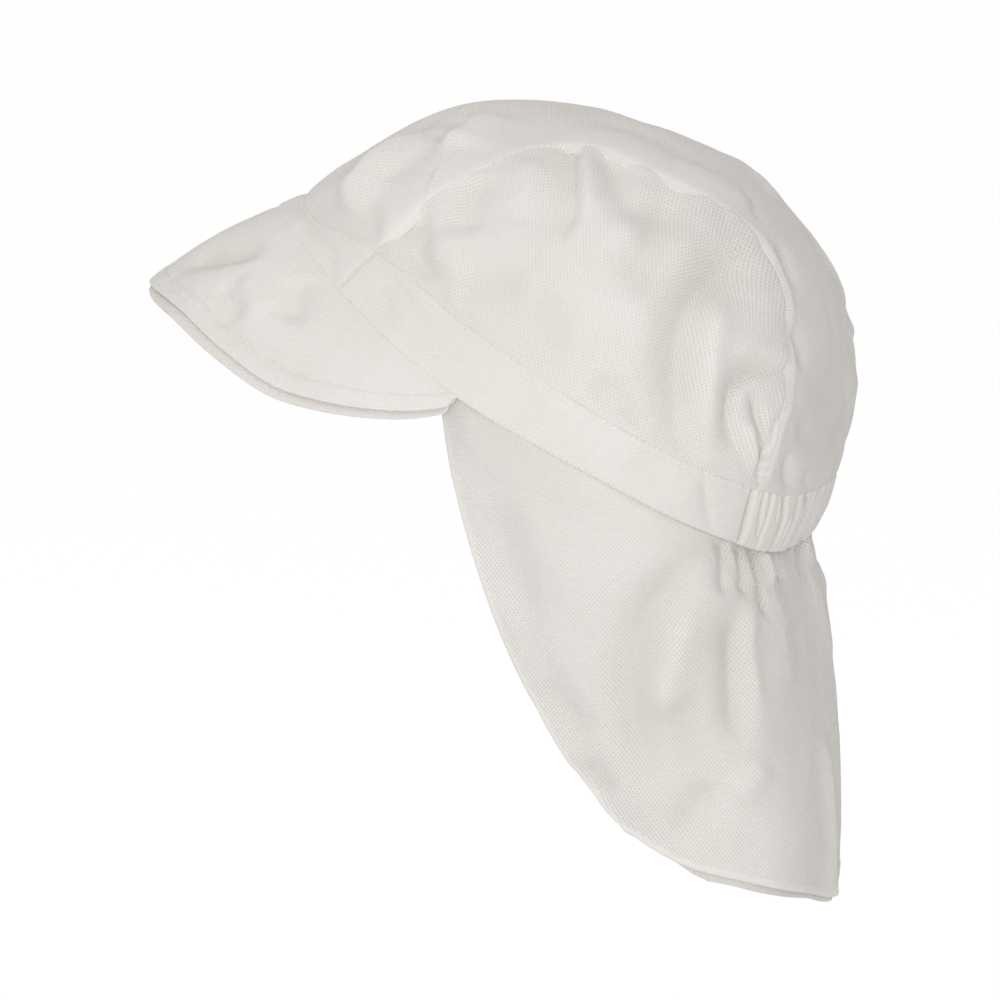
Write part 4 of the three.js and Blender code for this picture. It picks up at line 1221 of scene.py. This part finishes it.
def cloth_material(name, knit, colours, across, along, eye, turn, gap_depth, relief):
    """Knitted cloth: yarn colour, darker gaps, painted shade in fold floors, sheen and the relief of its
    loops.
    """
    material = bpy.data.materials.new(name)
    material.use_nodes = True
    tree = material.node_tree
    w = Wires(tree)
    shader = tree.nodes["Principled BSDF"]
    uv = tree.nodes.new("ShaderNodeUVMap")
    uv.uv_map = "cloth"
    place = tree.nodes.new("ShaderNodeMapping")
    place.inputs["Rotation"].default_value = (0, 0, math.radians(turn))
    tree.links.new(uv.outputs["UV"], place.inputs["Vector"])
    where = tree.nodes.new("ShaderNodeTexCoord").outputs["Object"]
    loops = tree.nodes.new("ShaderNodeGroup")
    loops.node_tree = knit
    w.join(loops.inputs["Vector"], place.outputs["Vector"])
    loops.inputs["Across"].default_value = across
    loops.inputs["Along"].default_value = along
    loops.inputs["Eye"].default_value = eye
    tone = tree.nodes.new("ShaderNodeGroup")
    tone.node_tree = made("cloth_tone", cloth_tone_group)
    w.join(tone.inputs["Vector"], where)
    yarn = w.blend(tone.outputs["Tone"], (*colours.cloth, 1), (*colours.cloth_shade, 1))
    nap = w.steps(tone.outputs["Nap"], 0.25, 0.75, 0.0, NAP_TINT)
    yarn = w.blend(nap, yarn, (*colours.gap, 1))
    # Painted shade: the yarn is darkened towards the painted shade colour in fold floors and other shaded
    # places
    painted_shade = tree.nodes.new("ShaderNodeAttribute")
    painted_shade.attribute_name = "painted_shade"
    yarn = w.blend(w.maths("MULTIPLY", painted_shade.outputs["Fac"], PAINTED_SHADE_TINT), yarn, (*colours.painted_shade, 1))
    plain = tree.nodes.new("ShaderNodeAttribute")
    plain.attribute_name = "plain"
    knitted = w.steps(plain.outputs["Fac"], 0.9, 0.1)
    seen = w.steps(w.noise(where, 45.0, 2.0), 0.3, 0.7, 0.45 * gap_depth, gap_depth)
    gaps = w.maths("MULTIPLY", w.maths("MULTIPLY", loops.outputs["Gaps"], seen), knitted)
    tree.links.new(w.blend(gaps, yarn, (*colours.gap, 1)), shader.inputs["Base Color"])
    tree.links.new(w.steps(loops.outputs["Gaps"], 0.0, 1.0, 0.86, 0.98), shader.inputs["Roughness"])
    shader.inputs["Specular IOR Level"].default_value = 0.2
    shader.inputs["Sheen Weight"].default_value = 0.25
    shader.inputs["Sheen Roughness"].default_value = 0.5
    fuzz = tree.nodes.new("ShaderNodeBump")
    fuzz.inputs["Strength"].default_value = 0.35
    fuzz.inputs["Distance"].default_value = 0.00008
    w.join(fuzz.inputs["Height"], tone.outputs["Nap"])
    bump = tree.nodes.new("ShaderNodeBump")
    bump.inputs["Strength"].default_value = 0.8
    bump.inputs["Distance"].default_value = relief
    w.join(bump.inputs["Height"], w.maths("MULTIPLY", loops.outputs["Height"], knitted))
    w.join(bump.inputs["Normal"], fuzz.outputs["Normal"])
    tree.links.new(bump.outputs["Normal"], shader.inputs["Normal"])
    return material


def thread_material(name, colours):
    """Twisted sewing thread."""
    material = bpy.data.materials.new(name)
    material.use_nodes = True
    tree = material.node_tree
    w = Wires(tree)
    shader = tree.nodes["Principled BSDF"]
    tone = tree.nodes.new("ShaderNodeGroup")
    tone.node_tree = made("cloth_tone", cloth_tone_group)
    w.join(tone.inputs["Vector"], tree.nodes.new("ShaderNodeTexCoord").outputs["Object"])
    tone.inputs["Fuzz"].default_value = 4200.0
    tree.links.new(w.blend(tone.outputs["Nap"], (*colours.thread, 1), (*colours.cloth_shade, 1)),
                   shader.inputs["Base Color"])
    tree.links.new(w.steps(tone.outputs["Nap"], 0.2, 0.8, 0.55, 0.75), shader.inputs["Roughness"])
    shader.inputs["Sheen Weight"].default_value = 0.2
    bump = tree.nodes.new("ShaderNodeBump")
    bump.inputs["Strength"].default_value = 0.5
    bump.inputs["Distance"].default_value = 0.00005
    w.join(bump.inputs["Height"], tone.outputs["Nap"])
    tree.links.new(bump.outputs["Normal"], shader.inputs["Normal"])
    return material


# Geometry Nodes trees
def stitch_tree():
    """A row of stitches laid on a path; its points carry the way out of the cloth as out."""
    tree, start, end = node_group(
        "stitch_row", "GeometryNodeTree",
        [("Geometry", "NodeSocketGeometry", None), ("Spacing", "NodeSocketFloat", 0.0026),
         ("Length", "NodeSocketFloat", 0.002), ("Width", "NodeSocketFloat", 0.00035),
         ("Rise", "NodeSocketFloat", 0.0002), ("Slant", "NodeSocketFloat", 0.0),
         ("Jitter", "NodeSocketFloat", 0.06), ("Seed", "NodeSocketInt", 1),
         ("Thread", "NodeSocketMaterial", None)],
        [("Geometry", "NodeSocketGeometry")],
    )
    nodes, links = tree.nodes, tree.links
    curve = nodes.new("GeometryNodeMeshToCurve")
    even = nodes.new("GeometryNodeResampleCurve")
    even.mode = "LENGTH"
    out = nodes.new("GeometryNodeInputNamedAttribute")
    out.data_type = "FLOAT_VECTOR"
    out.inputs["Name"].default_value = "out"
    way = nodes.new("FunctionNodeAxesToRotation")
    way.primary_axis = "Z"
    way.secondary_axis = "X"
    angle = nodes.new("FunctionNodeRandomValue")
    angle.data_type = "FLOAT"
    low = nodes.new("ShaderNodeMath")
    low.operation = "SUBTRACT"
    high = nodes.new("ShaderNodeMath")
    high.operation = "ADD"
    spin = nodes.new("FunctionNodeAxisAngleToRotation")
    spin.inputs["Axis"].default_value = (0, 0, 1)
    turned = nodes.new("FunctionNodeRotateRotation")
    turned.rotation_space = "LOCAL"
    size = nodes.new("ShaderNodeCombineXYZ")
    ball = nodes.new("GeometryNodeMeshUVSphere")
    ball.inputs["Segments"].default_value = 8
    ball.inputs["Rings"].default_value = 5
    ball.inputs["Radius"].default_value = 0.5
    place = nodes.new("GeometryNodeInstanceOnPoints")
    real = nodes.new("GeometryNodeRealizeInstances")
    paint = nodes.new("GeometryNodeSetMaterial")
    tangent = nodes.new("GeometryNodeInputTangent")
    given = start.outputs
    links.new(given["Geometry"], curve.inputs["Mesh"])
    links.new(curve.outputs["Curve"], even.inputs["Curve"])
    links.new(given["Spacing"], even.inputs["Length"])
    links.new(even.outputs["Curve"], place.inputs["Points"])
    links.new(out.outputs["Attribute"], way.inputs["Primary Axis"])
    links.new(tangent.outputs["Tangent"], way.inputs["Secondary Axis"])
    for node in (low, high):
        links.new(given["Slant"], node.inputs[0])
        links.new(given["Jitter"], node.inputs[1])
    links.new(low.outputs[0], angle.inputs[2])
    links.new(high.outputs[0], angle.inputs[3])
    links.new(given["Seed"], angle.inputs["Seed"])
    links.new(angle.outputs[1], spin.inputs["Angle"])
    links.new(way.outputs["Rotation"], turned.inputs["Rotation"])
    links.new(spin.outputs["Rotation"], turned.inputs["Rotate By"])
    for label, axis in (("Length", "X"), ("Width", "Y"), ("Rise", "Z")):
        links.new(given[label], size.inputs[axis])
    links.new(ball.outputs["Mesh"], place.inputs["Instance"])
    links.new(turned.outputs["Rotation"], place.inputs["Rotation"])
    links.new(size.outputs["Vector"], place.inputs["Scale"])
    links.new(place.outputs["Instances"], real.inputs["Geometry"])
    links.new(real.outputs["Geometry"], paint.inputs["Geometry"])
    links.new(given["Thread"], paint.inputs["Material"])
    links.new(paint.outputs["Geometry"], end.inputs["Geometry"])
    return tree


def path_piece(name, points, outward):
    """An object of one open path, from its points in millimetres and its normals."""
    edges = [(k, k + 1) for k in range(len(points) - 1)]
    mesh = bpy.data.meshes.new(name)
    mesh.from_pydata((points * MM).tolist(), edges, [])
    mesh.attributes.new("out", "FLOAT_VECTOR", "POINT").data.foreach_set("vector", outward.ravel())
    piece = bpy.data.objects.new(name, mesh)
    bpy.context.scene.collection.objects.link(piece)
    return piece


def settle(piece, tree, values):
    """Puts a tree on a piece, with its inputs, and keeps only the mesh that comes out."""
    modifier = piece.modifiers.new("shape", "NODES")
    modifier.node_group = tree
    for item in tree.interface.items_tree:
        if item.item_type == "SOCKET" and item.in_out == "INPUT" and item.name in values:
            modifier[item.identifier] = values[item.name]
    depsgraph = bpy.context.evaluated_depsgraph_get()
    mesh = bpy.data.meshes.new_from_object(piece.evaluated_get(depsgraph))
    piece.modifiers.remove(modifier)
    raw = piece.data
    piece.data = mesh
    mesh.name = piece.name
    mesh.shade_smooth()
    bpy.data.meshes.remove(raw)
    if len(mesh.polygons) == 0:
        raise RuntimeError(f"{piece.name} came out empty")
    return piece


def row_on(grid, outward, row, column, lift):
    """A path on a cloth grid, at fractional rows and columns, lifted off its surface."""
    points, normals = read_grid(grid, row, column), read_grid(outward, row, column)
    normals /= np.linalg.norm(normals, axis=1, keepdims=True)
    return points + normals * lift, normals


# Sizes and colours that a user would change
def metres(name, description, default):
    return bpy.props.FloatProperty(
        name=name, description=description, default=default, min=0.0001, soft_max=0.02,
        unit="LENGTH", subtype="DISTANCE", precision=5,
    )


def colour(name, description, default):
    return bpy.props.FloatVectorProperty(
        name=name, description=description, default=default, size=3, min=0, max=1, subtype="COLOR",
    )


class SunHatSizes(bpy.types.PropertyGroup):
    """Thickness of the cloth and size of the stitches"""
    crown_cloth: metres("Crown cloth", "Thickness of the crown's knit", 0.0011)
    band_cloth: metres("Band cloth", "Thickness of the doubled band", 0.0019)
    peak_cloth: metres("Peak cloth", "Thickness of each peak layer", 0.0012)
    flap_cloth: metres("Flap cloth", "Thickness of the neck flap's knit", 0.0009)
    stitch_spacing: metres("Stitch spacing", "Distance from stitch to stitch", 0.0025)
    stitch_length: metres("Stitch length", "Length of thread on top of the cloth", 0.0019)
    stitch_width: metres("Stitch width", "Width of the sewing thread", 0.0003)


class SunHatColours(bpy.types.PropertyGroup):
    """Colours of the hat"""
    cloth: colour("Cloth", "Off-white of the yarn", (0.835, 0.805, 0.775))
    cloth_shade: colour("Cloth, deeper", "The yarn where it is a little deeper", (0.805, 0.77, 0.735))
    gap: colour("Gaps", "Between the loops of the knit", (0.555, 0.52, 0.485))
    # Colour of the painted shade in fold floors, under the peak's edge and on the turned hem
    painted_shade: colour("Fold floors", "Cloth deep in a fold", (0.575, 0.54, 0.49))
    thread: colour("Thread", "Sewing thread", (0.80, 0.77, 0.73))


class SunHatStage(bpy.types.PropertyGroup):
    """Floor and light"""
    floor_height: bpy.props.FloatProperty(
        name="Floor height", description="Height of the floor below the head opening",
        default=-0.25, unit="LENGTH", subtype="DISTANCE")
    key_power: bpy.props.FloatProperty(
        name="Key light", description="Power of the large soft light", default=16.2, min=0, unit="POWER")
    fill_power: bpy.props.FloatProperty(
        name="Fill light", description="Power of the light above the peak", default=4.5, min=0, unit="POWER")
    sky: bpy.props.FloatProperty(
        name="Room light", description="Light from all round", default=0.6, min=0)


# Height of a stitch against the width of its thread
STITCH_RISE = 0.9


def sew(name, path, context, seed, size=1.0, width=1.0):
    """A row of stitches along a path."""
    sizes, colours = context.scene.sun_hat_sizes, context.scene.sun_hat_colours
    piece = settle(path_piece(name, *path), made("stitch_row", stitch_tree), {
        "Spacing": sizes.stitch_spacing * size, "Length": sizes.stitch_length * size,
        "Width": sizes.stitch_width * width, "Rise": sizes.stitch_width * STITCH_RISE * width,
        "Seed": seed, "Thread": made("sewing_thread", lambda: thread_material("sewing_thread", colours)),
    })
    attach(piece, "root")
    return piece


def dress(name, parts, material, node):
    """Makes a cloth piece, gives it its finish, hangs it on the root and hides the part of its node, if it
    has one.
    """
    outer, outward, uv, thick, marks = parts
    piece = cloth_shell(name, outer, outward, thick, uv, marks)
    piece.data.materials.append(material)
    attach(piece, "root")
    if node:
        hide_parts(node)
    return piece


# Knits: the group that draws it, its loops across and along in metres, how wide its eyes open, its
# turn in degrees, how dark its gaps are and the height of its relief in metres
COARSE, FINE = ("mesh_knit", mesh_knit_group), ("fine_knit", fine_knit_group)
KNITS = {
    "side_panel_knit": (COARSE, 0.00125, 0.00145, 0.85, 30, 0.32, 0.0002),
    "centre_strip_knit": (COARSE, 0.0017, 0.00095, 0.9, 12, 0.24, 0.00018),
    "band_knit": (COARSE, 0.0012, 0.0013, 0.9, 20, 0.16, 0.00014),
    "gathered_knit": (COARSE, 0.0012, 0.0013, 0.9, 20, 0.12, 0.0001),
    "peak_knit": (COARSE, 0.0012, 0.0011, 0.9, 25, 0.14, 0.00012),
    "peak_lining_knit": (FINE, 0.0007, 0.0007, 0.4, 0, 0.3, 0.0001),
    "flap_knit": (COARSE, 0.0012, 0.0015, 0.85, 0, 0.34, 0.0002),
}


def knit(name, context):
    group, *values = KNITS[name]
    return cloth_material(name, made(*group), context.scene.sun_hat_colours, *values)


# Points along a row of stitches, its height over the cloth, and the cloth that the peak's row
# needs between itself and the band
STITCH_POINTS = 700
STITCH_LIFT = 0.02
STITCH_ROOM = 1


class HAT_OT_side_panels(bpy.types.Operator):
    """Build the two side panels of the crown"""
    bl_idname = "sun_hat.side_panels"
    bl_label = "Side panels"

    def execute(self, context):
        hat = context.scene.sun_hat_sizes
        cloth = knit("side_panel_knit", context)
        for name, node, side, seed in (("crown_left_cloth", "crown_left", 1, 11),
                                       ("crown_right_cloth", "crown_right", -1, 12)):
            dress(name, side_panel(side, hat, seed), cloth, node)
        return {"FINISHED"}


class HAT_OT_centre_strip(bpy.types.Operator):
    """Build the crown's centre strip"""
    bl_idname = "sun_hat.centre_strip"
    bl_label = "Centre strip"

    def execute(self, context):
        parts = centre_strip(context.scene.sun_hat_sizes)
        dress("crown_centre_cloth", parts, knit("centre_strip_knit", context), "crown_centre")
        return {"FINISHED"}


class HAT_OT_headband(bpy.types.Operator):
    """Build the plain length of the band and its row of stitches"""
    bl_idname = "sun_hat.headband"
    bl_label = "Headband"

    def execute(self, context):
        parts = headband(context.scene.sun_hat_sizes, 31)
        dress("band_cloth", parts, knit("band_knit", context), "headband")
        outer, outward = parts[:2]
        columns, rows = outer.shape[:2]
        row = np.linspace(1, columns - 2, STITCH_POINTS)
        tall = np.interp(row, np.arange(columns), np.linalg.norm(outer[:, -1] - outer[:, 0], axis=-1))
        column = (rows - 1) * (1 - (TOPSTITCH_IN - BAND_TOP_SHY) / tall)
        sew("band_stitches", row_on(outer, outward, row, column, STITCH_LIFT), context, 3)
        return {"FINISHED"}


class HAT_OT_gathered_band(bpy.types.Operator):
    """Build the gathered elastic length of the band"""
    bl_idname = "sun_hat.gathered_band"
    bl_label = "Gathered band"

    def execute(self, context):
        parts = gathered_band(context.scene.sun_hat_sizes, 41)
        dress("band_gathered_cloth", parts, knit("gathered_knit", context), "band_elastic")
        return {"FINISHED"}


class HAT_OT_peak(bpy.types.Operator):
    """Build the two layers of the peak and the stitching along its edge"""
    bl_idname = "sun_hat.peak"
    bl_label = "Peak"

    def execute(self, context):
        hat = context.scene.sun_hat_sizes
        cloth, lining = knit("peak_knit", context), knit("peak_lining_knit", context)
        *parts, from_edge = peak_top(hat, 51)
        dress("peak_top_cloth", parts, cloth, "peak")
        dress("peak_under_cloth", peak_under(hat, 51), lining, "peak_under")
        outer, outward, from_edge = (grid[:, len(TUCK_DEPTHS):] for grid in (*parts[:2], from_edge))
        rows, columns = [], []
        for i in range(outer.shape[0]):
            if from_edge[i, 0] > PEAK_STITCH_IN + STITCH_ROOM:
                rows.append(i)
                columns.append(np.interp(-PEAK_STITCH_IN, -from_edge[i], np.arange(outer.shape[1])))
        path = row_on(outer, outward, np.array(rows, float), np.array(columns), STITCH_LIFT)
        sew("peak_stitches", path, context, 5)
        return {"FINISHED"}


# How far in from the hem its stitches lie on the grid
FLAP_STITCH_IN = 1.5


class HAT_OT_neck_flap(bpy.types.Operator):
    """Build the neck flap, its turned hem and the stitches of the hem"""
    bl_idname = "sun_hat.neck_flap"
    bl_label = "Neck flap"

    def execute(self, context):
        hat = context.scene.sun_hat_sizes
        cloth = knit("flap_knit", context)
        parts = neck_flap(hat, 61)
        dress("flap_cloth", parts, cloth, "neck_flap")
        dress("flap_turned_hem", turned_hem(hat, 64), cloth, None)
        outer, outward = (grid[:, len(TUCK_DEPTHS):] for grid in parts[:2])
        columns, rows = outer.shape[:2]
        row = np.linspace(2, columns - 3, STITCH_POINTS)
        tall = np.interp(row, np.arange(columns), np.linalg.norm(np.diff(outer, axis=1), axis=-1).sum(1))
        column = (rows - 1) * (1 - FLAP_STITCH_IN / tall)
        path = row_on(outer, outward, row, column, 0.0)
        sew("flap_stitches", path, context, 7, size=0.8, width=0.9)
        return {"FINISHED"}


# Camera, from the fit to the photograph: the place it looks at, the way to it, its distance in
# metres and its lens in millimetres
TARGET = Vector((0, -20.7, -51.1)) * MM
CAMERA_WAY = Vector((0.9440, 0.3067, 0.1219))
CAMERA_AWAY = 1.4
CAMERA_LENS = 168.8
# Floor: its corners, half its width, its paper's two greys, how bright it glows and the share of glow seen
SQUARE = ((-1, -1), (1, -1), (1, 1), (-1, 1))
FLOOR_HALF = 40
PAPER = ((0.90, 0.90, 0.90, 1), (0.92, 0.92, 0.92, 1))
GLOW, GLOW_SHARE = 1.14, 0.75
# Lights: where the two soft lamps stand, their width and the colour of the room's light
KEY_PLACE, FILL_PLACE = (1.90, 0.47, 0.08), (0.90, -0.60, 1.55)
LAMP_WIDE = 1.0
ROOM_COLOUR = (1.0, 0.995, 0.985, 1)


def aim(piece, target):
    piece.rotation_euler = (target - piece.location).to_track_quat("-Z", "Y").to_euler()


def soft_lamp(scene, name, place, power):
    """A square soft light aimed at the hat."""
    light = bpy.data.lights.new(name, "AREA")
    light.size = LAMP_WIDE
    light.energy = power
    lamp = bpy.data.objects.new(name, light)
    lamp.location = place
    aim(lamp, TARGET)
    scene.collection.objects.link(lamp)


class HAT_OT_stage(bpy.types.Operator):
    """Build the floor, the light and the camera"""
    bl_idname = "sun_hat.stage"
    bl_label = "Stage"

    def execute(self, context):
        scene = context.scene
        stage = scene.sun_hat_stage
        view = bpy.data.cameras.new("camera")
        view.lens = CAMERA_LENS
        view.sensor_width = 36
        view.clip_end = 100
        camera = bpy.data.objects.new("camera", view)
        camera.location = TARGET + CAMERA_WAY.normalized() * CAMERA_AWAY
        aim(camera, TARGET)
        scene.collection.objects.link(camera)
        scene.camera = camera

        mesh = bpy.data.meshes.new("floor")
        corners = [(x * FLOOR_HALF, y * FLOOR_HALF, stage.floor_height) for x, y in SQUARE]
        mesh.from_pydata(corners, [], [(0, 1, 2, 3)])
        floor = bpy.data.objects.new("floor", mesh)
        scene.collection.objects.link(floor)
        paper = bpy.data.materials.new("floor_paper")
        paper.use_nodes = True
        tree = paper.node_tree
        w = Wires(tree)
        shader = tree.nodes["Principled BSDF"]
        grain = w.noise(tree.nodes.new("ShaderNodeTexCoord").outputs["Object"], 40.0, 2.0)
        tree.links.new(w.blend(grain, *PAPER), shader.inputs["Base Color"])
        shader.inputs["Roughness"].default_value = 0.95
        glow = tree.nodes.new("ShaderNodeEmission")
        glow.inputs["Strength"].default_value = GLOW
        mix = tree.nodes.new("ShaderNodeMixShader")
        seen = tree.nodes.new("ShaderNodeLightPath").outputs["Is Camera Ray"]
        tree.links.new(w.maths("MULTIPLY", seen, GLOW_SHARE), mix.inputs[0])
        tree.links.new(shader.outputs[0], mix.inputs[1])
        tree.links.new(glow.outputs[0], mix.inputs[2])
        tree.links.new(mix.outputs[0], tree.nodes["Material Output"].inputs["Surface"])
        mesh.materials.append(paper)

        soft_lamp(scene, "key", KEY_PLACE, stage.key_power)
        soft_lamp(scene, "fill", FILL_PLACE, stage.fill_power)

        world = bpy.data.worlds.new("studio")
        world.use_nodes = True
        background = world.node_tree.nodes["Background"]
        background.inputs["Color"].default_value = ROOM_COLOUR
        background.inputs["Strength"].default_value = stage.sky
        scene.world = world
        scene.view_settings.view_transform = "Standard"
        return {"FINISHED"}


class HAT_PT_panel(bpy.types.Panel):
    """Sun hat tools"""
    bl_idname = "HAT_PT_panel"
    bl_label = "Sun hat"
    bl_space_type = "VIEW_3D"
    bl_region_type = "UI"
    bl_category = "Sun hat"

    def draw(self, context):
        layout = self.layout
        for settings in SETTINGS:
            box = layout.box()
            owner = getattr(context.scene, settings)
            for prop in owner.__annotations__:
                box.prop(owner, prop)
        for operator in OPERATORS:
            layout.operator(operator.bl_idname)


OPERATORS = (HAT_OT_side_panels, HAT_OT_centre_strip, HAT_OT_headband, HAT_OT_gathered_band,
             HAT_OT_peak, HAT_OT_neck_flap, HAT_OT_stage)
SETTINGS = {"sun_hat_sizes": SunHatSizes, "sun_hat_colours": SunHatColours, "sun_hat_stage": SunHatStage}
CLASSES = (*SETTINGS.values(), *OPERATORS, HAT_PT_panel)


def register():
    for item in CLASSES:
        bpy.utils.register_class(item)
    for name, item in SETTINGS.items():
        setattr(bpy.types.Scene, name, bpy.props.PointerProperty(type=item))


def unregister():
    for name in SETTINGS:
        delattr(bpy.types.Scene, name)
    for item in reversed(CLASSES):
        bpy.utils.unregister_class(item)


def main():
    register()
    for operator in OPERATORS:
        group, name = operator.bl_idname.split(".")
        getattr(getattr(bpy.ops, group), name)()


if __name__ == "__main__":
    main()
